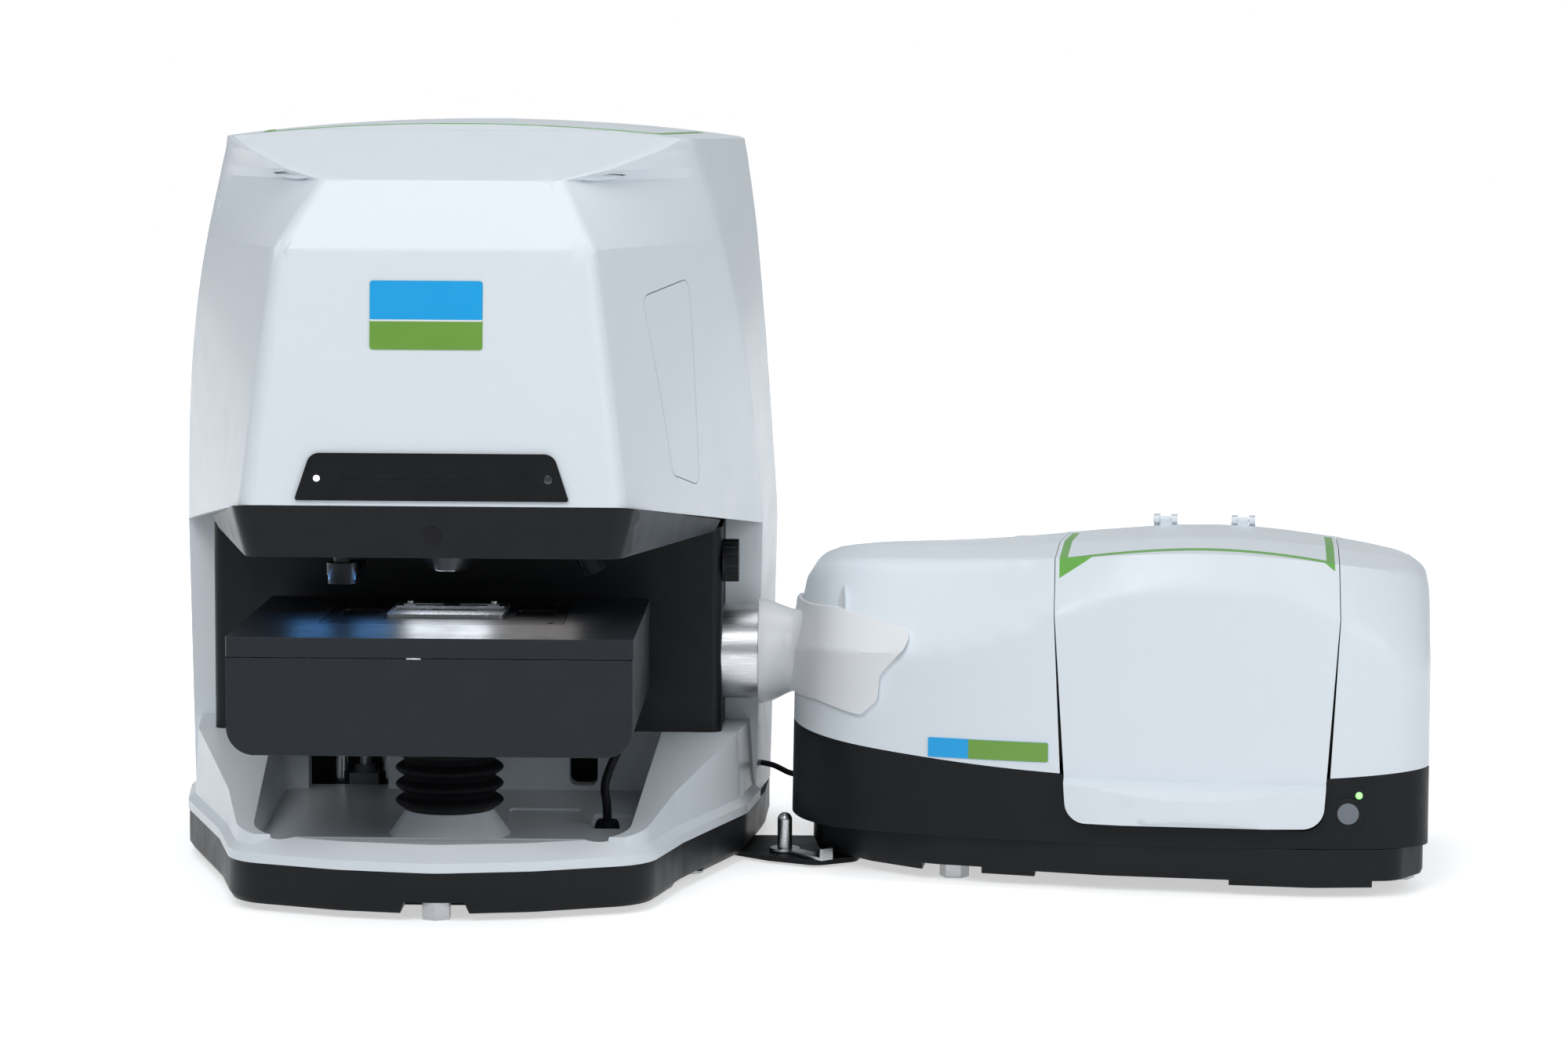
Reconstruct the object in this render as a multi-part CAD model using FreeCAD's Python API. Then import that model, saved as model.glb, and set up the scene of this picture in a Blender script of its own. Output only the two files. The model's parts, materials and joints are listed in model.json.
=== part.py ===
"""FTIR microscope with its docked infrared spectrometer, in millimetres.

Origin: middle of the microscope's front foot, on the bench. +X right, +Y back, +Z up.
The spectrometer is drawn in its own frame (its front middle) and set down turned beside
the microscope, joined by a beam tube, a moulded boot and a docking plate.
"""
import FreeCAD, Part
import math
import os

os.makedirs("parts", exist_ok=True)

# Walls and clearances
COVER_WALL = 3.5
PAN_WALL = 4.0
GAP = 0.6
SEAT_GAP = 0.3
RUN_CLEARANCE = 0.05
PIN_CLEARANCE = 0.09

# Microscope base
PAN_BOTTOM = 6.0
PAN_TOP = 35.0
LIP_TOP = 42.0
TRAY_FLOOR = 43.0
TRAY_FRONT_Z = 53.0
TRAY_FRONT_Y = 13.0
TRAY_FRONT_HALF = 134.0
TRAY_REAR_HALF = 146.0
TRAY_REAR_Y = 284.0
HOUSING_FRONT_Y = 231.0
HOUSING_BOTTOM = 96.0
HOUSING_TOP = 250.0
HOUSING_HALF = 190.0
HOUSING_CORNER = 8.0
SEAM_Y = 299.0
SEAM_Z = 247.0
SEAM_TOP_Y = 186.0
REAR_Y = 478.0
REAR_CORNER = 46.0
BASE_RADII = [60, 60, 60, 42, 60, 60, 60, 60, 40, 40, 40, 40, 60, 60, 60, 60, 42, 60, 60]
LIP_SLOPE = 14.0
INLET_PLACE = (-150.0, 60.0)
INLET_WIDTH = 48.0
INLET_HEIGHT = 32.0

# Hood
HOOD_FRONT_Y = -26.0
HOOD_FRONT_Z = 290.0
LID_FRONT_Y = 201.0
TOP_Z = 548.0
CROWN_HEIGHT = 38.0
UPPER_CREASE_Z = TOP_Z - CROWN_HEIGHT
UPPER_CREASE_Y = 43.9
CHAMFER_HEIGHT = 46.0
CREASE_Z = UPPER_CREASE_Z - CHAMFER_HEIGHT
BULGE_SHARE = 0.546
BULGE_Z = HOOD_FRONT_Z + BULGE_SHARE * (CREASE_Z - HOOD_FRONT_Z)
SEAM_TOP_Z = TOP_Z - 11.0
HOOD_FRONT_HALF = 131.0
CREASE_HALF = 108.2
UPPER_CREASE_HALF = 83.0
FRONT_LEAN = 0.0868
ROOF_RADIUS = 1500.0
ROOF_SLOPE = 0.0125

# Top lid and its trim
LID_HALF = 140.0
LID_REAR_HALF = 166.0
LID_DEPTH = 214.0
LID_REAR_GAP = 1.8
LID_THICK = 3.0
LID_CORNER = 12.0
TRIM_WIDTH = 6.0
TRIM_DEPTH = 1.6
PIVOT_INSET = 25.0
PIVOT_RADIUS = 1.0
PIVOT_DROP = 1.9

# Access door on the right facet
DOOR_GAP = 0.8
DOOR_CORNER = 9.0
DOOR_NORMAL = FreeCAD.Vector(0.930, -0.350, 0.110).normalize()
DOOR_MARGIN = 11.0
DOOR_HALF = (CREASE_Z - HOOD_FRONT_Z) / 2 - DOOR_MARGIN
DOOR_PLACE = FreeCAD.Vector(155.0, 112.0, (CREASE_Z + HOOD_FRONT_Z) / 2 - DOOR_MARGIN - 3)
DOOR_POINTS = [(-26.0, 14 - DOOR_HALF), (33.0, 2 - DOOR_HALF), (35.0, DOOR_HALF), (-55.0, DOOR_HALF - 10)]
DOOR_HINGE_S = 26.0
DOOR_PIN_RADIUS = 0.8
DOOR_PIN_REACH = 4.0

# Status panel and visor
PANEL_BOTTOM_Z = 293.5
PANEL_TOP_Z = 326.0
PANEL_BOTTOM_HALF = 93.8
PANEL_TOP_HALF = 83.0
PANEL_THICK = 2.6
LED_RADIUS = 3.0
LED_PLACES = (-78.5, 79.5)
VISOR_FRONT_HALF = 136.0
VISOR_LOWER_HALF = 127.0
VISOR_FRONT_Z = 254.5
VISOR_REAR_Z = 248.0
VISOR_WALL = 3.0
BUTTON_RADIUS = 6.0
BUTTON_Z = 269.6

# Stage
STAGE_HALF = 139.0
STAGE_FRONT_Y = -47.7
STAGE_REAR_Y = 185.8
STAGE_TOP = 202.0
STAGE_SEAM = 188.5
BELLY_BOTTOM = 121.0
BELLY_CORNER = 19.0
STAGE_WALL = 4.0
STAGE_DROP = 15.0
STAGE_RISE = 8.0
STAGE_Y_TRAVEL = 25.0
BEAM_Y = 95.0
INSERT_HALF = 85.0
INSERT_FRONT_Y = 30.0
INSERT_REAR_Y = 152.0
INSERT_THICK = 5.0
HOLDER_HALF = 41.0
HOLDER_DEPTH = 70.0
HOLDER_THICK = 3.0
SLIDE_WIDTH = 76.0
SLIDE_DEPTH = 26.0
BEAM_HOLE = 9.0
RAIL_TOP = 172.0
RAIL_X = 110.0
RAIL_WIDTH = 16.0
X_RAIL_TOP = 186.0
X_RAIL_Y = 10.0
PLATE_HALF = 126.0
PLATE_THICK = 6.0
PLATE_MARGIN = 1.5
SHOE_HALF = 90.0

# Bellows and condenser
BELLOWS_OUTER = 39.0
BELLOWS_INNER = 31.0
BELLOWS_WALL = 1.4
BELLOWS_FOLDS = 4
PEDESTAL_TOP = 61.0
PEDESTAL_FOOT = 44.0
PEDESTAL_HEAD = 31.0
CONDENSER_RADIUS = 22.0
CONDENSER_TOP = 168.0

# Vertical drive
ROD_RADIUS = 7.0
ROD_X = (-106.0, -68.0)
ROD_Y = 318.0
SCREW_X = -87.0
SCREW_RADIUS = 5.0
CARRIAGE_HEIGHT = 46.0
CARRIAGE_Z = 128.0
ARM_HALF = 34.0

# Beam tube, knob and boot
TUBE_Y = 272.0
TUBE_Z = 152.3
TUBE_RADIUS = 35.7
TUBE_WALL = 3.0
TUBE_SEAT = 1.5
TUBE_REACH = 27.0
TUBE_END_X = HOUSING_HALF + TUBE_REACH
KNOB_Y = 248.0
KNOB_Z = 223.8
KNOB_RADIUS = 16.0
KNOB_LENGTH = 12.0
BOOT_RING = 39.5
BOOT_NECK = 33.0
BEAM_PORT = 22.0
SHIELD_THICK = 4.0
SHIELD_REAR_Y = 190.0

# Optics under and over the bench plate
BENCH_Z = 262.0
BENCH_THICK = 10.0
OBJECTIVE_RADIUS = 24.0
OBJECTIVE_BOTTOM = 233.0
DEWAR_RADIUS = 36.0
DEWAR_HEADROOM = 86.0
DEWAR_HEIGHT = TOP_Z - DEWAR_HEADROOM - BENCH_Z - BENCH_THICK
BOARD_HEIGHT = 130.0
DEWAR_Y = 330.0
ATR_X = -76.0
ATR_PIVOT_Y = 92.0
ATR_ARM_LOW = 223.0
ATR_ARM_HIGH = 230.0
ATR_REACH = 76.0

# Feet
FOOT_RADIUS = 11.0
FOOT_NOTCH = 14.5

# Docking parts between the two bases
DOCK_Z = 2.0
DOCK_THICK = 4.0
PIN_X = 238.0
PIN_Y = 234.0
PIN_RADIUS = 5.5
PIN_HEIGHT = 24.0
LEVER_THICK = 2.5
LEVER_LENGTH = 50.0

# Spectrometer
SPEC_GAP = 311.0
SPEC_X = TUBE_END_X + SPEC_GAP
SPEC_Y = 99.0
SPEC_TURN = -6.0
PLINTH_BOTTOM = 8.0
PLINTH_TOP = 36.0
BAND_TOP = 83.0
BAND_ARC = 1900.0
SPEC_WALL = 3.5
SPEC_REAR = 298.0
SPEC_REAR_CORNER = 34.0
SPEC_LEFT = -298.0
SPEC_RIGHT = 172.0
SPEC_CREASE_Z = 218.0
SPEC_TOP_Z = 250.0
SPEC_FLOOR = 4.0
LID_LEFT = -98.0
LID_RIGHT = 106.0
LID_LIP_Z = 52.0
LID_LIP_Y = -11.0
LIP_BOW = 420.0
BAY_FLOOR_Z = 92.0
BAY_TOP_Z = 196.0
BAY_FRONT_Y = 24.0
BAY_REAR_Y = 250.0
BAY_WINDOW_Y = 140.0
BAY_WINDOW_Z = 150.0
SPEC_HINGE_Y = 262.0
SPEC_HINGE_Z = 245.5
HINGE_PLACES = (-26.0, 34.0)
EYE_RADIUS = 2.8
EYE_LENGTH = 8.0
LUG_LENGTH = 5.0
HINGE_PIN = 1.1
LID_LIP_CORNER = 15.0
PLINTH_NOTCH = 5.0
CASTING_TOP = 150.0
ROTOR_X = -186.0
ROTOR_Y = 165.0
ROTOR_POST = 6.0
SPEC_FRONT_FEET = ((-171, 56), (154, 100))
SPEC_REAR_FEET = ((-240, 260), (150, 262))
PLINTH_RADII = [40, 60, 80, 60, 22, 22, 30, 30, 40]
POWER_X = 114.0
POWER_Z = 62.0
POWER_RADIUS = 7.6
BEZEL_RADIUS = 10.7
LED_X = 121.6
LED_Z = 74.6

# Cords
STAGE_CABLE_RADIUS = 3.2
STAGE_CABLE_ROUTE = [(121, 152, 120.7), (121, 152, 108.5), (118, 148, 96), (112, 141, 83.5),
                     (108, 133, 70.5), (111, 127, 59), (111, 127, 47.5)]
GROMMET_BORE = 8.0
LINK_CABLE_RADIUS = 2.2
LINK_CABLE_ROUTE = [(218.0, 326, 58), (226, 325.5, 57), (233.5, 322, 54), (241, 316.5, 51), (250.4, 314, 50)]


def vec(x, y, z=0.0):
    return FreeCAD.Vector(x, y, z)


def box(low, high):
    size = [high[i] - low[i] for i in range(3)]
    return Part.makeBox(size[0], size[1], size[2], vec(*low))


def cylinder(radius, base, height, axis=(0, 0, 1)):
    return Part.makeCylinder(radius, height, vec(*base), vec(*axis))


def ring(outer, inner, base, height, axis=(0, 0, 1)):
    return cylinder(outer, base, height, axis).cut(cylinder(inner, base, height, axis))


def fuse(shapes):
    whole = shapes[0]
    for shape in shapes[1:]:
        whole = whole.fuse(shape)
    return whole.removeSplitter()


def cut(shape, tools):
    for tool in tools:
        shape = shape.cut(tool)
    return shape


def inset_points(points, inset):
    """Corners of a counter-clockwise outline moved inwards by the same distance on each side."""
    count = len(points)
    lines = []
    for i in range(count):
        (ax, ay), (bx, by) = points[i], points[(i + 1) % count]
        length = math.hypot(bx - ax, by - ay)
        nx, ny = -(by - ay) / length, (bx - ax) / length
        lines.append((ax + nx * inset, ay + ny * inset, bx - ax, by - ay))
    moved = []
    for i in range(count):
        px, py, pdx, pdy = lines[i - 1]
        qx, qy, qdx, qdy = lines[i]
        t = ((qx - px) * qdy - (qy - py) * qdx) / (pdx * qdy - pdy * qdx)
        moved.append((px + pdx * t, py + pdy * t))
    return moved


def outline(points, radii, place=None):
    """Closed wire in the XY plane: straight sides joined by tangent arcs."""
    count = len(points)
    starts, ends, arcs = [], [], []
    for i in range(count):
        corner = vec(*points[i])
        back = (vec(*points[i - 1]) - corner).normalize()
        ahead = (vec(*points[(i + 1) % count]) - corner).normalize()
        half = back.getAngle(ahead) / 2
        reach = radii[i] / math.tan(half)
        start, end = corner + back * reach, corner + ahead * reach
        to_centre = (back + ahead).normalize()
        middle = corner + to_centre * (radii[i] / math.sin(half) - radii[i])
        starts.append(start)
        ends.append(end)
        arcs.append(Part.Arc(start, middle, end).toShape() if radii[i] > 0 else None)
    edges = []
    for i in range(count):
        if arcs[i]:
            edges.append(arcs[i])
        edges.append(Part.makeLine(ends[i], starts[(i + 1) % count]))
    wire = Part.Wire(edges)
    if place:
        wire.transformShape(place.toMatrix())
    return wire


def level_wire(points, radii, z):
    return outline(points, radii, FreeCAD.Placement(vec(0, 0, z), FreeCAD.Rotation()))


def prism(points, radii, z_low, z_high):
    return Part.Face(level_wire(points, radii, z_low)).extrude(vec(0, 0, z_high - z_low))


def mirrored(points):
    """Right-hand points, front to back, completed to a counter-clockwise symmetric outline."""
    left = [(-x, y) for x, y in reversed(points)]
    return points + left


def yz_prism(points, x_low, x_high):
    wire = Part.makePolygon([vec(x_low, y, z) for y, z in points + points[:1]])
    return Part.Face(wire).extrude(vec(x_high - x_low, 0, 0))


def xz_prism(points, radii, y_low, y_high):
    place = FreeCAD.Placement(vec(0, y_high, 0), FreeCAD.Rotation(vec(1, 0, 0), 90))
    return Part.Face(outline(points, radii, place)).extrude(vec(0, y_low - y_high, 0))


def save(name, shape):
    shape.exportStep("parts/" + name + ".step")


def seam_y(z):
    """Depth of the seam between the front and rear covers at a height."""
    if z <= SEAM_Z:
        return SEAM_Y
    return SEAM_Y + (SEAM_TOP_Y - SEAM_Y) * (z - SEAM_Z) / (SEAM_TOP_Z - SEAM_Z)


def front_y(z):
    return HOOD_FRONT_Y + FRONT_LEAN * (z - HOOD_FRONT_Z)


def front_half(z):
    """Half-width of the front facet, which narrows evenly up to the crease."""
    share = (z - HOOD_FRONT_Z) / (CREASE_Z - HOOD_FRONT_Z)
    return HOOD_FRONT_HALF + (CREASE_HALF - HOOD_FRONT_HALF) * share


# Microscope body outlines

def body_level(z, front, front_half, seam_half, rear_half, rear, corner, inset=0.0, drop=0.0):
    """One level of the covers: front edge, bend at the seam, rear side and rounded rear."""
    seam = max(seam_y(z), front + 25)
    right = [(front_half, front), (seam_half, seam), (rear_half, REAR_Y - 78), (rear_half - 9, rear)]
    points = inset_points(mirrored(right), inset)
    radii = [14, 90, 60, corner, corner, 60, 90, 14]
    return level_wire(points, radii, z - drop)


def body_form(inset=0.0, drop=0.0):
    """Covers as one closed form, or their inside where inset and drop are set."""
    levels = [
        (PAN_TOP, front_y(SEAM_Z), front_half(SEAM_Z), 215, 224, REAR_Y - 4, REAR_CORNER),
        (SEAM_Z, front_y(SEAM_Z), front_half(SEAM_Z), 219, 229, REAR_Y, REAR_CORNER),
        (HOOD_FRONT_Z, front_y(HOOD_FRONT_Z), HOOD_FRONT_HALF, 216, 226, REAR_Y, REAR_CORNER),
        (BULGE_Z, front_y(BULGE_Z), front_half(BULGE_Z), 206, 219, REAR_Y, REAR_CORNER),
        (CREASE_Z, front_y(CREASE_Z), CREASE_HALF, 190, 212, REAR_Y, REAR_CORNER),
        (UPPER_CREASE_Z, UPPER_CREASE_Y, UPPER_CREASE_HALF, 177, 206, REAR_Y - 2, REAR_CORNER),
        (UPPER_CREASE_Z + 7, slope_y(UPPER_CREASE_Z + 7), 111, 175, 205, REAR_Y - 3, REAR_CORNER),
        (TOP_Z - 18, slope_y(TOP_Z - 18), 145, 171, 203, REAR_Y - 5, REAR_CORNER),
        (TOP_Z - 9, slope_y(TOP_Z - 9), 162, 170, 201, REAR_Y - 10, REAR_CORNER),
        (TOP_Z + 6, slope_y(TOP_Z + 6), 166, 171, 193, REAR_Y - 26, REAR_CORNER),
    ]
    wires = [body_level(*level, inset=inset, drop=drop) for level in levels]
    lower = Part.makeLoft(wires[:2], True, True)
    middle = Part.makeLoft(wires[1:5], True, False)
    upper = Part.makeLoft(wires[4:], True, True)
    return lower.fuse(middle).fuse(upper).common(roof_form(drop))


def slope_y(z):
    """Depth of the plane that rises from the upper crease to the lid's front edge."""
    return UPPER_CREASE_Y + (LID_FRONT_Y - UPPER_CREASE_Y) * (z - UPPER_CREASE_Z) / CROWN_HEIGHT


def roof_form(depth):
    """All that lies under the crowned roof, or under a level sunk below it."""
    lead = 400.0
    start = vec(0, LID_FRONT_Y - lead, TOP_Z - ROOF_RADIUS - lead * ROOF_SLOPE)
    return Part.makeCylinder(ROOF_RADIUS - depth, 1000.0, start, vec(0, 1, ROOF_SLOPE))


def roof_z(x, y):
    arch = ROOF_RADIUS - math.sqrt(ROOF_RADIUS ** 2 - x ** 2)
    return TOP_Z - arch + ROOF_SLOPE * (y - LID_FRONT_Y)


def front_region(shift=0.0):
    lower_y = HOOD_FRONT_Y - 60
    slope = (HOOD_FRONT_Z - SEAM_Z) / (SEAM_Y - HOOD_FRONT_Y)
    tilt = (SEAM_Y - SEAM_TOP_Y) / (SEAM_TOP_Z - SEAM_Z)
    high = TOP_Z + 40
    points = [(lower_y, HOOD_FRONT_Z + slope * 60), (SEAM_Y - shift, SEAM_Z + slope * shift),
              (SEAM_Y - tilt * (high - SEAM_Z) - shift, high), (lower_y, high)]
    return yz_prism(points, -300, 300)


def rear_region():
    tilt = (SEAM_Y - SEAM_TOP_Y) / (SEAM_TOP_Z - SEAM_Z)
    high = TOP_Z + 40
    points = [(SEAM_Y, PAN_TOP + GAP), (REAR_Y + 40, PAN_TOP + GAP), (REAR_Y + 40, high),
              (SEAM_Y - tilt * (high - SEAM_Z), high), (SEAM_Y, SEAM_Z)]
    return yz_prism(points, -300, 300)


# Access door: a four-sided panel on the right facet, cut along the facet's normal

def door_axes():
    along = vec(0, 0, 1).cross(DOOR_NORMAL).normalize()
    up = DOOR_NORMAL.cross(along).normalize()
    return along, up


def door_prism(inset):
    along, up = door_axes()
    matrix = FreeCAD.Matrix(along.x, up.x, DOOR_NORMAL.x, 0, along.y, up.y, DOOR_NORMAL.y, 0,
                            along.z, up.z, DOOR_NORMAL.z, 0, 0, 0, 0, 1)
    matrix.move(DOOR_PLACE - DOOR_NORMAL * 45)
    wire = outline(inset_points(DOOR_POINTS, inset), [DOOR_CORNER - inset] * 4)
    wire.transformShape(matrix)
    return Part.Face(wire).extrude(DOOR_NORMAL * 90)


def door_hinge_ends(shell):
    """Two points in the middle of the cover's wall, on the door's hinge line."""
    along, up = door_axes()
    ends = []
    for height in (10 - DOOR_HALF, DOOR_HALF - 10):
        centre = DOOR_PLACE + along * DOOR_HINGE_S + up * height
        line = Part.makeLine(centre - DOOR_NORMAL * 40, centre + DOOR_NORMAL * 40)
        ends.append(shell.common(line).Edges[0].CenterOfMass)
    return ends


def door_pins(shell, radius):
    """Hinge pins that stand out of the door's lower and upper edges."""
    low, high = door_hinge_ends(shell)
    axis = (high - low).normalize()
    lower_end = low - axis * (6.0 + DOOR_PIN_REACH)
    upper_end = high + axis * (8.0 + DOOR_PIN_REACH)
    return [Part.makeCylinder(radius, 6.0 + DOOR_PIN_REACH, lower_end, axis),
            Part.makeCylinder(radius, 8.0 + DOOR_PIN_REACH, upper_end, axis * -1)]


def make_covers():
    """Front cover, rear cover and access door, all cut from one moulded form."""
    outer = body_form()
    inner = body_form(COVER_WALL, COVER_WALL)
    shell = outer.cut(inner)
    front = shell.common(front_region(GAP))
    rear = shell.common(rear_region())
    door = front.common(door_prism(DOOR_GAP))
    door = fuse([door] + door_pins(shell, DOOR_PIN_RADIUS))
    front = cut(front, [door_prism(0)] + door_pins(shell, DOOR_PIN_RADIUS + PIN_CLEARANCE))
    returns = []
    for side in (-1, 1):
        low, high = sorted((side * (HOUSING_HALF + GAP), side * 226.0))
        wall = box((low, SEAM_Y, PAN_TOP + GAP), (high, SEAM_Y + COVER_WALL, SEAM_Z + 8))
        returns.append(wall.common(outer))
    rear = fuse([rear] + returns)
    hole = prism(lid_plan(0.0, lid_front(), lid_front() + LID_DEPTH + LID_REAR_GAP - GAP), [LID_CORNER] * 4,
                 TOP_Z - 60, TOP_Z + 30)
    groove = trim_form(0.1, TRIM_DEPTH, 20)
    scallop = cylinder(BOOT_RING + 1, (150, TUBE_Y, TUBE_Z), 110, (1, 0, 0))
    rear = cut(rear, [hole, groove, scallop])
    rear = cut(rear, rear_service_cuts())
    return front, rear, door


def rear_service_cuts():
    """Power inlet opening and fan grille slots in the rear cover."""
    x0, z0 = INLET_PLACE
    cuts = [box((x0, REAR_Y - 30, z0), (x0 + INLET_WIDTH, REAR_Y + 20, z0 + INLET_HEIGHT))]
    for row in range(9):
        z = 130 + row * 12
        cuts.append(box((30, REAR_Y - 30, z), (130, REAR_Y + 20, z + 5)))
    return cuts


def make_power_inlet():
    """Socket block in the rear cover: flanged body with a recessed well and three blades."""
    x0, z0 = INLET_PLACE
    low = REAR_Y - COVER_WALL - 24
    body = box((x0 + SEAT_GAP, low, z0 + SEAT_GAP), (x0 + INLET_WIDTH - SEAT_GAP, REAR_Y - 1.5,
                                                    z0 + INLET_HEIGHT - SEAT_GAP))
    middle_x, middle_z = x0 + INLET_WIDTH / 2, z0 + INLET_HEIGHT / 2
    well = box((middle_x - 14, REAR_Y - 18, middle_z - 9), (middle_x + 14, REAR_Y + 5, middle_z + 9))
    blades = []
    for dx, dz in ((-7, -1), (0, 3), (7, -1)):
        low_point = (middle_x + dx - 1, REAR_Y - 18.5, middle_z + dz - 2.5)
        blades.append(box(low_point, (middle_x + dx + 1, REAR_Y - 6, middle_z + dz + 2.5)))
    return fuse([body.cut(well)] + blades)


def lid_front():
    return LID_FRONT_Y + TRIM_WIDTH + GAP


def lid_half(y):
    """Half-width of the lid's opening, which widens towards the back."""
    return LID_HALF + (LID_REAR_HALF - LID_HALF) * (y - lid_front()) / LID_DEPTH


def lid_plan(grow, y_low, y_high):
    front, rear = lid_half(y_low) + grow, lid_half(y_high) + grow
    return [(-front, y_low), (front, y_low), (rear, y_high), (-rear, y_high)]


def lid_outline(inset):
    return lid_plan(-inset, lid_front() + inset, lid_front() + LID_DEPTH - inset)


def trim_form(grow, sink, proud):
    """U-shaped strip round the front and sides of the top lid, following the crowned roof."""
    y0 = LID_FRONT_Y - 0.2
    y1 = lid_pivot()[1] - 4.0
    corner = LID_CORNER + TRIM_WIDTH
    outer = prism(lid_plan(GAP + TRIM_WIDTH + grow, y0 - grow, y1 + grow), [corner, corner, 1, 1],
                  TOP_Z - 60, TOP_Z + 30)
    core = prism(lid_plan(GAP - grow, y0 + TRIM_WIDTH + grow, y1 + 20), [LID_CORNER, LID_CORNER, 1, 1],
                 TOP_Z - 60, TOP_Z + 30)
    return outer.cut(core).common(roof_form(-proud)).cut(roof_form(sink))


def make_top_lid():
    """Crowned plate with a stiffening rim and two hinge pins near its back edge."""
    plate = prism(lid_outline(GAP), [LID_CORNER - GAP] * 4, TOP_Z - 60, TOP_Z + 30)
    plate = plate.common(roof_form(0)).cut(roof_form(LID_THICK))
    rim = prism(lid_outline(8.0), [5] * 4, TOP_Z - 60, TOP_Z + 30)
    rim = rim.cut(prism(lid_outline(11.0), [4] * 4, TOP_Z - 60, TOP_Z + 30))
    rim = rim.common(roof_form(LID_THICK)).cut(roof_form(LID_THICK + 3))
    rim = rim.common(box((-300, 0, 0), (300, lid_pivot()[1] - 16, 900)))
    return fuse([plate, rim] + lid_pins(PIVOT_RADIUS, 4.0, 4.4))


def lid_pivot():
    y = lid_front() + LID_DEPTH - PIVOT_INSET
    return (0, y, roof_z(lid_half(y), y) - PIVOT_DROP)


def lid_pins(radius, inside, outside):
    """Hinge pins from inside the lid's edge into the cover on each side."""
    pins = []
    for side in (-1, 1):
        start = (side * (lid_half(lid_pivot()[1]) - GAP - inside), lid_pivot()[1], lid_pivot()[2])
        pins.append(cylinder(radius, start, inside + GAP + outside, (side, 0, 0)))
    return pins


# Base

def base_points(inset=0.0):
    right = [(68, -10), (108, 4.8), (146, 19), (167, 104), (187, 163), (210, 230),
             (222, 330), (224, REAR_Y - 70), (213, REAR_Y - 4)]
    return inset_points([(0, -22)] + right + [(-x, y) for x, y in reversed(right)], inset)


def base_wire(inset, z):
    scale = max(0.4, 1 - inset / 90.0)
    return level_wire(base_points(inset), [r * scale for r in BASE_RADII], z)


def make_base_pan():
    """Black tray under everything: chamfered foot edge, raised notch round the front foot."""
    foot_edge = Part.makeLoft([base_wire(4.0, PAN_BOTTOM), base_wire(0.8, PAN_BOTTOM + 5)], True, True)
    wall = Part.Face(base_wire(0.8, PAN_BOTTOM + 5)).extrude(vec(0, 0, PAN_TOP - PAN_BOTTOM - 5))
    inner = Part.Face(base_wire(0.8 + PAN_WALL, PAN_BOTTOM + PAN_WALL + 4))
    inner = inner.extrude(vec(0, 0, PAN_TOP))
    pan = fuse([foot_edge, wall]).cut(inner)
    boss = box((-31, -60, PAN_BOTTOM + PAN_WALL), (31, 22, FOOT_NOTCH + PAN_WALL)).common(
        Part.Face(base_wire(2, PAN_BOTTOM)).extrude(vec(0, 0, 60)))
    pan = fuse([pan, boss])
    notch = xz_prism([(-26, 0), (26, 0), (21, FOOT_NOTCH), (-21, FOOT_NOTCH)], [0] * 4, -60, 16)
    side_notch = box((150, 90, 0), (240, 150, PAN_BOTTOM + 3))
    return cut(pan, [notch, side_notch])


def ledge_z(y):
    rise = (HOUSING_BOTTOM - TRAY_FRONT_Z) / (HOUSING_FRONT_Y - TRAY_FRONT_Y)
    return TRAY_FRONT_Z + rise * (y - TRAY_FRONT_Y)


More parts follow.
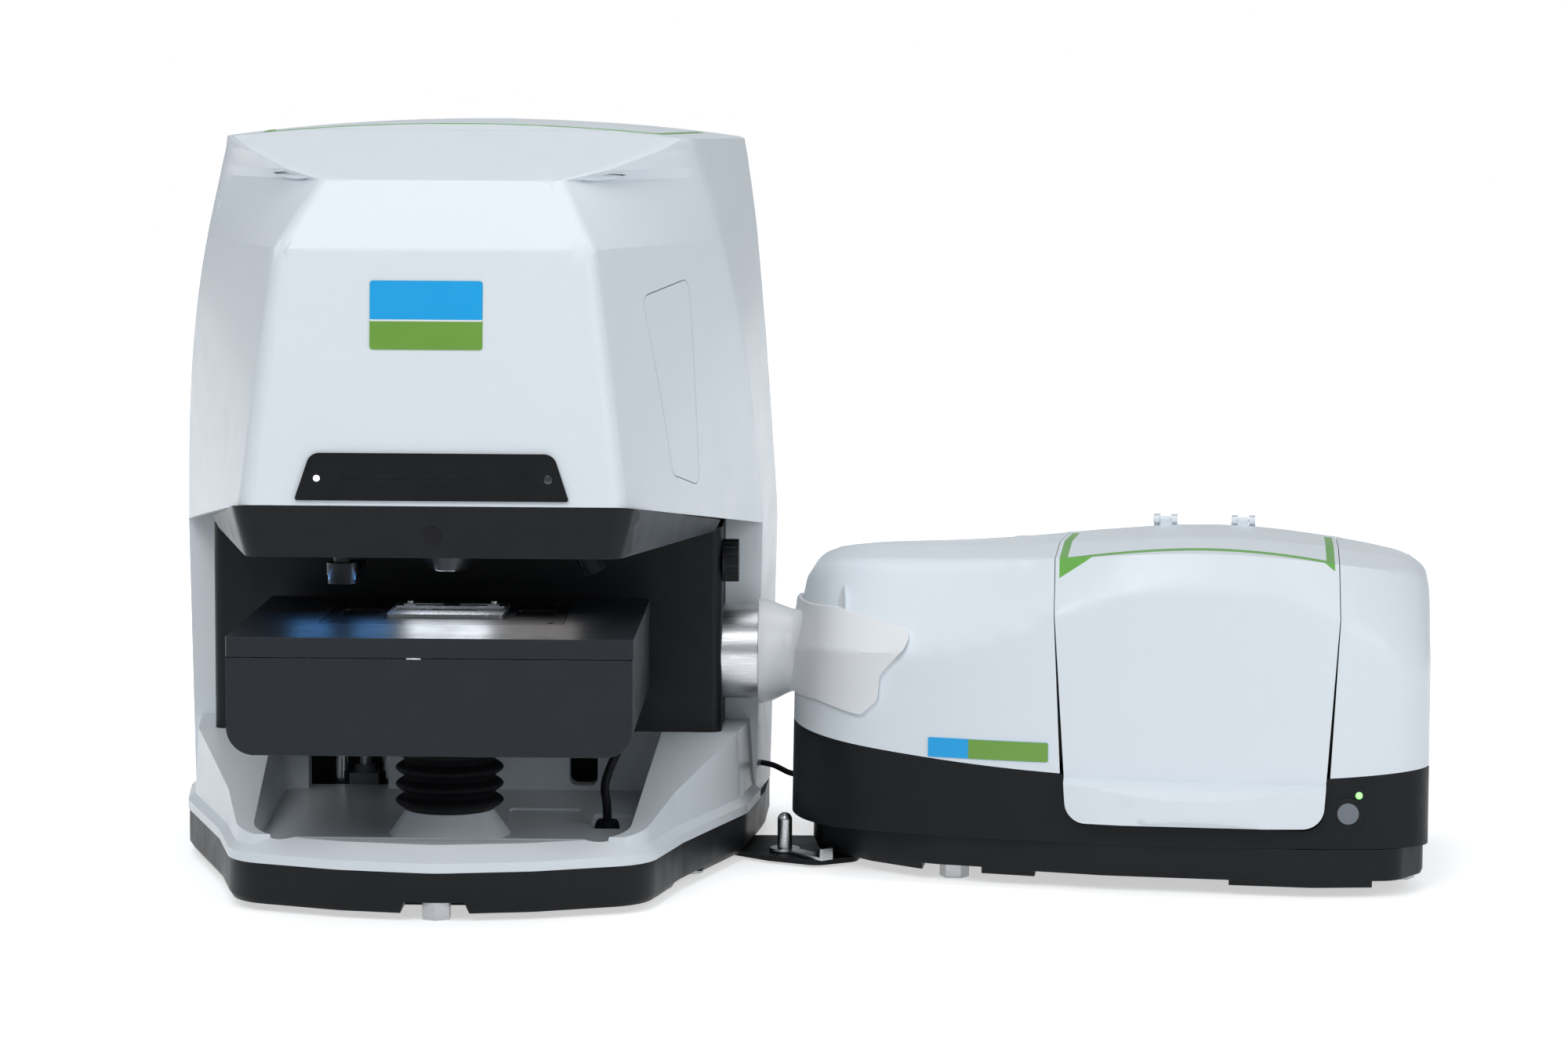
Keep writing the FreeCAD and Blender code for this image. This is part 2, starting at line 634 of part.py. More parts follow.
def make_base_cover():
    """White tray: sloping lip and ledges, sunk floor, bellows pedestal, openings at the back."""
    bottom = PAN_TOP + SEAT_GAP
    band = Part.Face(base_wire(0, bottom)).extrude(vec(0, 0, LIP_TOP - bottom))
    slope = Part.makeLoft([base_wire(0, LIP_TOP), base_wire(LIP_SLOPE, TRAY_FRONT_Z + 1.5)], True, True)
    steep = Part.makeLoft([base_wire(5, LIP_TOP), base_wire(9, 110)], True, True)
    far = seam_y(0) - GAP
    wedge = yz_prism([(20, LIP_TOP), (20, ledge_z(20)), (HOUSING_FRONT_Y, HOUSING_BOTTOM),
                      (far, HOUSING_BOTTOM), (far, LIP_TOP)], -230, 230)
    front_cap = yz_prism([(-60, LIP_TOP), (-60, TRAY_FRONT_Z), (TRAY_FRONT_Y, TRAY_FRONT_Z), (20, ledge_z(20)),
                          (20, LIP_TOP)], -230, 230)
    whole = fuse([band, slope.common(front_cap.fuse(wedge)), steep.common(wedge)])
    whole = whole.common(box((-260, -60, 0), (260, far, 200)))
    corners = [(-TRAY_FRONT_HALF, TRAY_FRONT_Y), (TRAY_FRONT_HALF, TRAY_FRONT_Y),
               (TRAY_REAR_HALF, TRAY_REAR_Y), (-TRAY_REAR_HALF, TRAY_REAR_Y)]
    recess = Part.makeLoft([level_wire(inset_points(corners, 4), [28, 28, 12, 12], TRAY_FLOOR),
                            level_wire(inset_points(corners, -2), [34, 34, 16, 16], HOUSING_BOTTOM + 2)],
                           True, True)
    under = Part.makeLoft([base_wire(COVER_WALL + 1, bottom - 1), base_wire(COVER_WALL + 2, LIP_TOP - 2)],
                          True, True)
    under = under.common(box((-260, -60, 0), (260, far - COVER_WALL, LIP_TOP - 3.2)))
    whole = cut(whole, [recess, under])
    cone = Part.makeCone(PEDESTAL_FOOT, PEDESTAL_HEAD, PEDESTAL_TOP - TRAY_FLOOR + 1,
                         vec(0, BEAM_Y, TRAY_FLOOR - 1))
    whole = fuse([whole, cone])
    bore = cylinder(CONDENSER_RADIUS + SEAT_GAP, (0, BEAM_Y, 0), 200)
    rod_window = box((-126, TRAY_REAR_Y - 4, TRAY_FLOOR), (-65, 320, 200))
    slot = xz_prism([(73, 46.5), (94.5, 46.5), (94.5, 78), (73, 78)], [6] * 4, TRAY_REAR_Y - 4, 320)
    pocket = prism([(40, 128), (84, 128), (90, 200), (34, 200)], [6] * 4, TRAY_FLOOR - 1.6, 60)
    recess_cord = prism([(99, 116), (126, 116), (126, 176), (99, 176)], [4] * 4, TRAY_FLOOR - 2.0, 60)
    cord_hole = cylinder(GROMMET_BORE, (111, 127, 20), 40)
    return cut(whole, [bore, rod_window, slot, pocket, recess_cord, cord_hole])


def make_grommet():
    ball = Part.makeSphere(9.0, vec(111, 127, TRAY_FLOOR - 1.0))
    ball = ball.common(box((90, 100, TRAY_FLOOR - 2.0), (130, 150, 80)))
    neck = cylinder(GROMMET_BORE - SEAT_GAP, (111, 127, LIP_TOP - 5.2), TRAY_FLOOR - LIP_TOP + 3.2)
    top = STAGE_CABLE_ROUTE[-1][2]
    head = ball.fuse(neck).common(box((90, 100, 20), (130, 150, top)))
    return head.removeSplitter()


def make_feet():
    hexagon = [(FOOT_RADIUS * math.cos(math.radians(60 * i + 30)),
                FOOT_RADIUS * math.sin(math.radians(60 * i + 30))) for i in range(6)]
    front = prism(hexagon, [1.0] * 6, 0, FOOT_NOTCH)
    feet = [front]
    for x, y in ((-168, 180), (168, 180), (-170, 410), (170, 410)):
        feet.append(cylinder(FOOT_RADIUS, (x, y, 0), PAN_BOTTOM))
    return feet


# Inner housing, visor and panel

def make_inner_housing():
    """Black column behind the stage: front wall, sides, floor, stage slot and tube hole."""
    half, wall = HOUSING_HALF, COVER_WALL
    points = [(-half, HOUSING_FRONT_Y), (half, HOUSING_FRONT_Y), (half, SEAM_Y - GAP),
              (-half, SEAM_Y - GAP)]
    radii = [HOUSING_CORNER, HOUSING_CORNER, 0.5, 0.5]
    outer = prism(points, radii, HOUSING_BOTTOM, HOUSING_TOP)
    inner = prism([(-half + wall, HOUSING_FRONT_Y + wall), (half - wall, HOUSING_FRONT_Y + wall),
                   (half - wall, SEAM_Y + 20), (-half + wall, SEAM_Y + 20)],
                  [HOUSING_CORNER - wall] * 2 + [0.5] * 2, HOUSING_BOTTOM + wall, HOUSING_TOP + 20)
    slot = box((SCREW_X - ARM_HALF - 6, HOUSING_FRONT_Y - 10, CARRIAGE_Z - STAGE_DROP - 4),
               (SCREW_X + ARM_HALF + 6, HOUSING_FRONT_Y + 20, CARRIAGE_Z + CARRIAGE_HEIGHT + STAGE_RISE + 4))
    tube_hole = cylinder(TUBE_RADIUS + SEAT_GAP, (100, TUBE_Y, TUBE_Z), 200, (1, 0, 0))
    knob_hole = cylinder(4 + RUN_CLEARANCE, (100, KNOB_Y, KNOB_Z), 200, (1, 0, 0))
    floor_hole = box((-135, TRAY_REAR_Y + 4, HOUSING_BOTTOM - 5), (-55, SEAM_Y + 5, HOUSING_BOTTOM + 10))
    return cut(outer.cut(inner), [slot, tube_hole, knob_hole, floor_hole])


def visor_section(half, rear_half, z_of_y, inset=0.0, lift=0.0):
    """Tapered outline in a plane that slopes from front to rear."""
    points = [(half, HOOD_FRONT_Y), (rear_half, HOUSING_FRONT_Y - SEAT_GAP)]
    points = inset_points(points + [(-x, y) for x, y in reversed(points)], inset)
    front_z, rear_z = z_of_y
    slope = (rear_z - front_z) / (HOUSING_FRONT_Y - HOOD_FRONT_Y)
    place = FreeCAD.Placement(vec(0, HOOD_FRONT_Y, front_z + lift),
                              FreeCAD.Rotation(vec(1, 0, 0), math.degrees(math.atan(slope))))
    flat = [(x, (y - HOOD_FRONT_Y)) for x, y in points]
    radii = [max(13 - inset, 4), 4, 4, max(13 - inset, 4)]
    return outline(flat, radii, place)


def hood_edge_z(y):
    return HOOD_FRONT_Z - (HOOD_FRONT_Z - SEAM_Z) / (SEAM_Y - HOOD_FRONT_Y) * (y - HOOD_FRONT_Y)


def make_visor():
    """Black nose band under the hood with its sloping cheeks and optics floor."""
    top = (HOOD_FRONT_Z - SEAT_GAP, hood_edge_z(HOUSING_FRONT_Y) - SEAT_GAP)
    bottom = (VISOR_FRONT_Z, VISOR_REAR_Z)
    outer = Part.makeLoft([visor_section(VISOR_LOWER_HALF, HOUSING_HALF - 4, bottom),
                           visor_section(VISOR_FRONT_HALF, HOUSING_HALF, top)], True, True)
    floor = visor_section(VISOR_LOWER_HALF, HOUSING_HALF - 4, bottom, VISOR_WALL, VISOR_WALL)
    inner = Part.makeLoft([floor, visor_section(VISOR_FRONT_HALF, HOUSING_HALF, top, VISOR_WALL, 6)],
                          True, True)
    holes = [cylinder(OBJECTIVE_RADIUS + 3, (0, BEAM_Y, 200), 120),
             cylinder(BUTTON_RADIUS + RUN_CLEARANCE, (0, -60, BUTTON_Z), 100, (0, 1, 0)),
             box((70, 70, 200), (118, 116, 262)),
             box((-100, 66, 200), (-56, 118, 262))]
    return cut(outer.cut(inner), holes)


def make_visor_button():
    face = HOOD_FRONT_Y - 1.2
    stem = cylinder(BUTTON_RADIUS, (0, face, BUTTON_Z), 1.2 + VISOR_WALL + 2, (0, 1, 0))
    flange_y = HOOD_FRONT_Y + VISOR_WALL + SEAT_GAP
    flange = cylinder(BUTTON_RADIUS + 1.5, (0, flange_y, BUTTON_Z), 1.7, (0, 1, 0))
    return fuse([stem, flange])


def panel_prism(bottom_half, top_half, z_low, z_high, back, front, radii):
    lean = math.degrees(math.atan(FRONT_LEAN))
    points = [(-bottom_half, z_low), (bottom_half, z_low), (top_half, z_high), (-top_half, z_high)]
    shape = xz_prism(points, radii, front, back)
    shape.rotate(vec(0, 0, HOOD_FRONT_Z), vec(1, 0, 0), -lean)
    shape.translate(vec(0, HOOD_FRONT_Y, 0))
    return shape


def make_status_panel():
    """Gloss black plate on the hood's lower edge with a light groove and two lamp holes."""
    plate = panel_prism(PANEL_BOTTOM_HALF, PANEL_TOP_HALF, PANEL_BOTTOM_Z, PANEL_TOP_Z, 0, -PANEL_THICK,
                        [1.5, 1.5, 9, 9])
    middle = (PANEL_BOTTOM_Z + PANEL_TOP_Z) / 2 - 1
    groove = panel_prism(62, 61, middle - 1.5, middle + 1.5, -PANEL_THICK + 0.8, -PANEL_THICK - 2,
                         [1.2] * 4)
    return cut(plate, [groove] + [led_form(x, 0.05, 2) for x in LED_PLACES])


def led_form(x, grow=0.0, proud=0.0):
    middle = (PANEL_BOTTOM_Z + PANEL_TOP_Z) / 2 - 1
    shape = cylinder(LED_RADIUS + grow, (x, -PANEL_THICK - proud, middle), 1.6 + proud, (0, 1, 0))
    shape.rotate(vec(0, 0, HOOD_FRONT_Z), vec(1, 0, 0), -math.degrees(math.atan(FRONT_LEAN)))
    shape.translate(vec(0, HOOD_FRONT_Y, 0))
    return shape


# Stage

def make_stage_body():
    """Open-topped belly with rounded lower corners, a floor hole and the rear arm."""
    half, wall = STAGE_HALF - 0.6, STAGE_WALL
    points = [(-half, BELLY_BOTTOM), (half, BELLY_BOTTOM), (half, STAGE_SEAM - GAP),
              (-half, STAGE_SEAM - GAP)]
    outer = xz_prism(points, [BELLY_CORNER, BELLY_CORNER, 0, 0], STAGE_FRONT_Y, STAGE_REAR_Y)
    inner_points = inset_points(points[:2] + [(half, STAGE_SEAM + 30), (-half, STAGE_SEAM + 30)], wall)
    inner = xz_prism(inner_points, [BELLY_CORNER - wall] * 2 + [0] * 2, STAGE_FRONT_Y + wall,
                     STAGE_REAR_Y - wall)
    hole = cylinder(BELLOWS_INNER - 2, (0, BEAM_Y, BELLY_BOTTOM - 5), 20)
    latch = box((-27, STAGE_FRONT_Y - 5, STAGE_SEAM - 4), (-17, STAGE_FRONT_Y + 1.0, STAGE_SEAM + 4))
    body = cut(outer.cut(inner), [hole, latch])
    arm = box((SCREW_X - ARM_HALF, STAGE_REAR_Y - 1, CARRIAGE_Z), (SCREW_X + ARM_HALF, ROD_Y - 16,
              CARRIAGE_Z + CARRIAGE_HEIGHT))
    hollow = box((SCREW_X - ARM_HALF + 8, STAGE_REAR_Y + 8, CARRIAGE_Z - 1),
                 (SCREW_X + ARM_HALF - 8, ROD_Y - 24, CARRIAGE_Z + CARRIAGE_HEIGHT - 8))
    rails = [box((x - RAIL_WIDTH / 2, STAGE_FRONT_Y + wall, RAIL_TOP - 12),
                 (x + RAIL_WIDTH / 2, STAGE_REAR_Y - wall, RAIL_TOP)) for x in (-RAIL_X, RAIL_X)]
    return fuse([body, arm.cut(hollow)] + rails)


def make_y_plate():
    """Middle plate of the stage: slides front to back on the belly's rails."""
    low = RAIL_TOP + SEAT_GAP
    front = STAGE_FRONT_Y + STAGE_WALL + STAGE_Y_TRAVEL + PLATE_MARGIN
    rear = STAGE_REAR_Y - STAGE_WALL - STAGE_Y_TRAVEL - PLATE_MARGIN
    plate = box((-PLATE_HALF, front, low), (PLATE_HALF, rear, low + PLATE_THICK))
    window = box((-86, 28, low - 5), (86, 152, low + PLATE_THICK + 5))
    guides = []
    for side in (-1, 1):
        inner, outer = RAIL_X - RAIL_WIDTH / 2 - GAP - 20, RAIL_X - RAIL_WIDTH / 2 - GAP
        x_low, x_high = sorted((side * inner, side * outer))
        guides.append(box((x_low, front, low - 10), (x_high, rear, low)))
    rail = box((-PLATE_HALF + 4, X_RAIL_Y - 5, low + PLATE_THICK),
               (PLATE_HALF - 4, X_RAIL_Y + 5, X_RAIL_TOP))
    return fuse([plate.cut(window), rail] + guides)


def make_stage_plate():
    """Top plate with the insert's rebate and the window under it."""
    half = STAGE_HALF
    plate = prism([(-half, STAGE_FRONT_Y), (half, STAGE_FRONT_Y), (half, STAGE_REAR_Y),
                   (-half, STAGE_REAR_Y)], [4] * 4, STAGE_SEAM, STAGE_TOP)
    seat = prism([(-INSERT_HALF - GAP, INSERT_FRONT_Y - GAP), (INSERT_HALF + GAP, INSERT_FRONT_Y - GAP),
                  (INSERT_HALF + GAP, INSERT_REAR_Y + GAP), (-INSERT_HALF - GAP, INSERT_REAR_Y + GAP)],
                 [5] * 4, STAGE_TOP - INSERT_THICK, STAGE_TOP + 5)
    window = prism([(-INSERT_HALF + 6, INSERT_FRONT_Y + 6), (INSERT_HALF - 6, INSERT_FRONT_Y + 6),
                    (INSERT_HALF - 6, INSERT_REAR_Y - 6), (-INSERT_HALF + 6, INSERT_REAR_Y - 6)],
                   [5] * 4, STAGE_SEAM - 5, STAGE_TOP)
    shoe = box((-SHOE_HALF, X_RAIL_Y - 7, X_RAIL_TOP + SEAT_GAP), (SHOE_HALF, X_RAIL_Y + 7, STAGE_SEAM))
    return fuse([cut(plate, [seat, window]), shoe])


def make_stage_insert():
    points = [(-INSERT_HALF, INSERT_FRONT_Y), (INSERT_HALF, INSERT_FRONT_Y), (INSERT_HALF, INSERT_REAR_Y),
              (-INSERT_HALF, INSERT_REAR_Y)]
    plate = prism(points, [5 - GAP] * 4, STAGE_TOP - INSERT_THICK, STAGE_TOP)
    opening = cylinder(26, (0, BEAM_Y, STAGE_TOP - 20), 40)
    screws = [cylinder(2.6, (x, y, STAGE_TOP - 2.5), 10) for x in (-76, 76) for y in (39, 143)]
    side_wells = [prism([(x - 14, 74), (x + 14, 74), (x + 14, 112), (x - 14, 112)], [3] * 4,
                        STAGE_TOP - 1.5, STAGE_TOP + 5) for x in (-62, 62)]
    return cut(plate, [opening] + screws + side_wells)


def make_slide_holder():
    """Bright plate with the slide rebate, end stops and an oval beam window."""
    y0, y1 = BEAM_Y - HOLDER_DEPTH / 2, BEAM_Y + HOLDER_DEPTH / 2
    plate = prism([(-HOLDER_HALF, y0), (HOLDER_HALF, y0), (HOLDER_HALF, y1), (-HOLDER_HALF, y1)],
                  [3] * 4, STAGE_TOP, STAGE_TOP + HOLDER_THICK)
    rebate = box((-SLIDE_WIDTH / 2 - 0.5, BEAM_Y - SLIDE_DEPTH / 2 - 0.5, STAGE_TOP + 1.6),
                 (SLIDE_WIDTH / 2 + 0.5, BEAM_Y + SLIDE_DEPTH / 2 + 0.5, STAGE_TOP + 20))
    oval = prism([(-20, BEAM_Y - BEAM_HOLE), (20, BEAM_Y - BEAM_HOLE), (20, BEAM_Y + BEAM_HOLE),
                  (-20, BEAM_Y + BEAM_HOLE)], [BEAM_HOLE - 0.5] * 4, STAGE_TOP - 5, STAGE_TOP + 20)
    return cut(plate, [rebate, oval])


def make_slide_clips():
    """Two spring clips parked behind the slide, each on its screw."""
    clips = []
    for x in (-30, 30):
        foot = box((x - 4, BEAM_Y + SLIDE_DEPTH / 2 + 3, STAGE_TOP + HOLDER_THICK),
                   (x + 4, BEAM_Y + SLIDE_DEPTH / 2 + 13, STAGE_TOP + HOLDER_THICK + 1))
        inner, outer = sorted((x - math.copysign(24, x), x))
        leaf = box((inner, BEAM_Y + SLIDE_DEPTH / 2 + 5, STAGE_TOP + HOLDER_THICK + 0.5),
                   (outer, BEAM_Y + SLIDE_DEPTH / 2 + 10, STAGE_TOP + HOLDER_THICK + 1))
        screw = cylinder(2.2, (x, BEAM_Y + SLIDE_DEPTH / 2 + 9, STAGE_TOP + HOLDER_THICK + 1), 1.6)
        clips.append(fuse([foot, leaf, screw]))
    return Part.makeCompound(clips)


# Bellows, condenser and vertical drive

def make_bellows():
    """Folded rubber sleeve between the pedestal and the belly."""
    low, high = PEDESTAL_TOP + SEAT_GAP, BELLY_BOTTOM - SEAT_GAP
    pitch = (high - low - 4) / BELLOWS_FOLDS
    outer = [(BELLOWS_INNER + 1.5, low), (BELLOWS_INNER + 1.5, low + 2)]
    for fold in range(BELLOWS_FOLDS):
        base = low + 2 + fold * pitch
        outer += [(BELLOWS_OUTER, base + pitch / 2), (BELLOWS_INNER + 1.5, base + pitch)]
    outer += [(BELLOWS_INNER + 1.5, high)]
    inner = [(r - BELLOWS_WALL, z) for r, z in reversed(outer)]
    points = [vec(r, 0, z) for r, z in outer + inner]
    face = Part.Face(Part.makePolygon(points + points[:1]))
    sleeve = face.revolve(vec(0, 0, 0), vec(0, 0, 1), 360)
    sleeve.translate(vec(0, BEAM_Y, 0))
    return sleeve


def make_condenser():
    """Lower mirror objective standing on the pedestal, inside the bellows."""
    radius = CONDENSER_RADIUS
    profile = [(0, 20), (radius, 20), (radius, PEDESTAL_TOP), (radius + 4, PEDESTAL_TOP),
               (radius + 4, PEDESTAL_TOP + 5), (radius, PEDESTAL_TOP + 5), (radius, 140), (radius - 4, 146),
               (radius - 4, CONDENSER_TOP - 8), (radius - 9, CONDENSER_TOP), (0, CONDENSER_TOP)]
    points = [vec(r, 0, z) for r, z in profile]
    body = Part.Face(Part.makePolygon(points + points[:1])).revolve(vec(0, 0, 0), vec(0, 0, 1), 360)
    body.translate(vec(0, BEAM_Y, 0))
    return body


def make_rods():
    floor = PAN_BOTTOM + PAN_WALL + 4
    return Part.makeCompound([cylinder(ROD_RADIUS, (x, ROD_Y, floor), BENCH_Z - floor) for x in ROD_X])


def make_screw():
    bottom = PAN_BOTTOM + PAN_WALL + 4 + 42
    screw = cylinder(SCREW_RADIUS, (SCREW_X, ROD_Y, bottom), 190)
    for turn in range(12):
        z = bottom + 45 + turn * 10
        screw = screw.cut(ring(SCREW_RADIUS + 2, SCREW_RADIUS - 0.8, (SCREW_X, ROD_Y, z), 4))
    return screw


def make_motor():
    floor = PAN_BOTTOM + PAN_WALL + 4
    body = box((SCREW_X - 11, ROD_Y - 11 + 0, floor), (SCREW_X + 11, ROD_Y + 11, floor + 36))
    coupling = cylinder(8, (SCREW_X, ROD_Y, floor + 36), 6)
    return fuse([body, coupling])


def make_carriage():
    """Block that rides on the two rods and carries the stage arm."""
    block = box((SCREW_X - 42, ROD_Y - 16, CARRIAGE_Z),
                (SCREW_X + 42, ROD_Y + 16, CARRIAGE_Z + CARRIAGE_HEIGHT))
    bores = [cylinder(ROD_RADIUS + RUN_CLEARANCE, (x, ROD_Y, 0), 400) for x in ROD_X]
    nut = cylinder(SCREW_RADIUS + RUN_CLEARANCE, (SCREW_X, ROD_Y, 0), 400)
    return cut(block, bores + [nut])


def make_frame():
    """Two side plates and a rear web that carry the optical bench."""
    floor = PAN_BOTTOM + PAN_WALL + 4
    plates = []
    for side in (-1, 1):
        low, high = sorted((side * 176.0, side * 184.0))
        plate = box((low, SEAM_Y + 8, floor), (high, REAR_Y - 40, BENCH_Z))
        window = box((low - 5, SEAM_Y + 40, floor + 50), (high + 5, REAR_Y - 70, BENCH_Z - 50))
        plates.append(plate.cut(window))
    web = box((-176, REAR_Y - 48, floor), (176, REAR_Y - 40, BENCH_Z))
    web = web.cut(box((-120, REAR_Y - 60, floor + 40), (120, REAR_Y - 30, BENCH_Z - 60)))
    return fuse(plates + [web])


# Optics on the bench

def make_bench():
    points = [(-108, 6), (108, 6), (150, 160), (184, SEAM_Y + 8), (184, REAR_Y - 40), (-184, REAR_Y - 40),
              (-184, SEAM_Y + 8), (-150, 160)]
    plate = prism(points, [8] * 8, BENCH_Z, BENCH_Z + BENCH_THICK)
    hole = cylinder(OBJECTIVE_RADIUS - 4, (0, BEAM_Y, BENCH_Z - 5), 30)
    return plate.cut(hole)


def make_objective():
    """Mirror objective hanging under the bench on the beam axis."""
    radius = OBJECTIVE_RADIUS
    profile = [(7, OBJECTIVE_BOTTOM), (13, OBJECTIVE_BOTTOM), (radius, OBJECTIVE_BOTTOM + 12),
               (radius, BENCH_Z - 8), (radius - 5, BENCH_Z - 6), (radius - 5, BENCH_Z), (7, BENCH_Z)]
    points = [vec(r, 0, z) for r, z in profile]
    body = Part.Face(Part.makePolygon(points + points[:1])).revolve(vec(0, 0, 0), vec(0, 0, 1), 360)
    body.translate(vec(0, BEAM_Y, 0))
    return body


def make_mirror_tower():
    """Periscope block over the objective with its angled mirror face."""
    base = BENCH_Z + BENCH_THICK
    tower = box((-30, BEAM_Y - 30, base), (30, BEAM_Y + 30, base + 90))
    slant = yz_prism([(BEAM_Y - 31, base + 40), (BEAM_Y - 31, base + 91), (BEAM_Y + 20, base + 91)], -40, 40)
    bore = cylinder(14, (0, BEAM_Y, base - 5), 70)
    return cut(tower, [slant, bore])


def make_camera():
    base = BENCH_Z + BENCH_THICK
    post = box((-84, BEAM_Y - 18, base), (-54, BEAM_Y + 18, base + 56))
    lens = cylinder(14, (-54, BEAM_Y, base + 36), 23.7, (1, 0, 0))
    sensor = box((-112, BEAM_Y - 22, base + 14), (-84, BEAM_Y + 22, base + 60))
    return fuse([post, lens, sensor])


def make_dewar():
    base = BENCH_Z + BENCH_THICK
    profile = [(0, base), (DEWAR_RADIUS, base), (DEWAR_RADIUS, base + DEWAR_HEIGHT - 16),
               (DEWAR_RADIUS - 14, base + DEWAR_HEIGHT), (13, base + DEWAR_HEIGHT + 6),
               (13, base + DEWAR_HEIGHT + 34), (10, base + DEWAR_HEIGHT + 34),
               (10, base + DEWAR_HEIGHT + 8), (0, base + DEWAR_HEIGHT + 8)]
    points = [vec(r, 0, z) for r, z in profile]
    body = Part.Face(Part.makePolygon(points + points[:1])).revolve(vec(0, 0, 0), vec(0, 0, 1), 360)
    body.translate(vec(0, DEWAR_Y, 0))
    return body


def make_dewar_cap():
    top = BENCH_Z + BENCH_THICK + DEWAR_HEIGHT + 34
    plug = cylinder(10 - SEAT_GAP, (0, DEWAR_Y, top - 14), 14)
    head = cylinder(17, (0, DEWAR_Y, top), 9)
    return fuse([plug, head])


def make_control_board():
    base = BENCH_Z + BENCH_THICK
    board = box((-130, REAR_Y - 62, base), (130, REAR_Y - 60, base + BOARD_HEIGHT))
    chips = [box((x, REAR_Y - 67, base + z), (x + 26, REAR_Y - 62, base + z + 22))
             for x in (-110, -60, 10, 70) for z in (18, 74)]
    return fuse([board] + chips)


def make_illuminator():
    """Angled lamp nozzle on the right of the objective, hung from the bench."""
    start = vec(104, 92, 232)
    direction = vec(-0.42, 0, 0.91).normalize()
    barrel = Part.makeCylinder(8.5, 30, start, direction)
    collar = Part.makeCylinder(11, 8, start + direction * 14, direction)
    foot = box((80, 84, 250), (112, 100, BENCH_Z))
    bore = Part.makeCylinder(6.0, 5, start - direction * 0.5, direction)
    return fuse([barrel.common(box((0, 0, 0), (200, 200, BENCH_Z))), collar.common(box((0, 0, 0),
                (200, 200, BENCH_Z))), foot]).cut(bore)


def make_atr_arm():
    """Swing arm that brings the contact crystal under the objective."""
    post = cylinder(6.0, (ATR_X, ATR_PIVOT_Y, ATR_ARM_HIGH - 1), BENCH_Z - SEAT_GAP - ATR_ARM_HIGH + 1)
    knuckle = cylinder(11.0, (ATR_X, ATR_PIVOT_Y, ATR_ARM_HIGH - 1), 9)
    end_y = ATR_PIVOT_Y + ATR_REACH
    arm = prism([(ATR_X - 10, ATR_PIVOT_Y - 10), (ATR_X + 10, ATR_PIVOT_Y - 10), (ATR_X + 8, end_y + 10),
                 (ATR_X - 8, end_y + 10)], [8, 8, 7, 7], ATR_ARM_LOW, ATR_ARM_HIGH)
    seat = cylinder(5, (ATR_X, end_y, ATR_ARM_LOW - 1), 5)
    return fuse([post, knuckle, arm]).cut(seat)


def make_atr_crystal():
    end_y = ATR_PIVOT_Y + ATR_REACH
    mount = cylinder(5, (ATR_X, end_y, ATR_ARM_LOW), 4)
    tip = Part.makeCone(0.8, 5, 4.5, vec(ATR_X, end_y, ATR_ARM_LOW - 4.5))
    return fuse([mount, tip])


# Knob, beam tube and boot

def make_side_knob():
    grip = cylinder(KNOB_RADIUS, (HOUSING_HALF + SEAT_GAP, KNOB_Y, KNOB_Z), KNOB_LENGTH, (1, 0, 0))
    flutes = []
    for turn in range(18):
        angle = math.radians(360 / 18 * turn)
        y = KNOB_Y + (KNOB_RADIUS + 0.6) * math.cos(angle)
        z = KNOB_Z + (KNOB_RADIUS + 0.6) * math.sin(angle)
        flutes.append(cylinder(1.4, (HOUSING_HALF + 2.5, y, z), KNOB_LENGTH, (1, 0, 0)))
    shaft = cylinder(4, (HOUSING_HALF - 16, KNOB_Y, KNOB_Z), 17, (1, 0, 0))
    return fuse([cut(grip, flutes), shaft])


def make_beam_tube():
    start = HOUSING_HALF - COVER_WALL - TUBE_SEAT
    return ring(TUBE_RADIUS, TUBE_RADIUS - TUBE_WALL, (start, TUBE_Y, TUBE_Z), TUBE_END_X - start, (1, 0, 0))


# Spectrometer form: profiles across the depth, lofted from left to right

def spec_place(shape):
    shape = shape.copy()
    shape.rotate(vec(0, 0, 0), vec(0, 0, 1), SPEC_TURN)
    shape.translate(vec(SPEC_X, SPEC_Y, 0))
    return shape


def spec_unplace(shape):
    """A shape of the microscope's frame, seen from the spectrometer's own frame."""
    shape = shape.copy()
    shape.translate(vec(-SPEC_X, -SPEC_Y, 0))
    shape.rotate(vec(0, 0, 0), vec(0, 0, 1), -SPEC_TURN)
    return shape


def spec_save(name, shape):
    save(name, spec_place(shape))


def spec_station(x, front, crease, top, reach):
    """Depth profile at one station: front wall, crease, slope, roof and back."""
    low = PLINTH_TOP - 6
    crest_y = 20 + front + reach
    points = [(front, low), (front + 12, crease), (crest_y, top - 5), (crest_y + 70, top),
              (SPEC_REAR - 30, top - 8), (SPEC_REAR, top - 42), (SPEC_REAR, low)]
    corners = [vec(x, y, z) for y, z in points]
    return Part.makePolygon(corners + corners[:1])


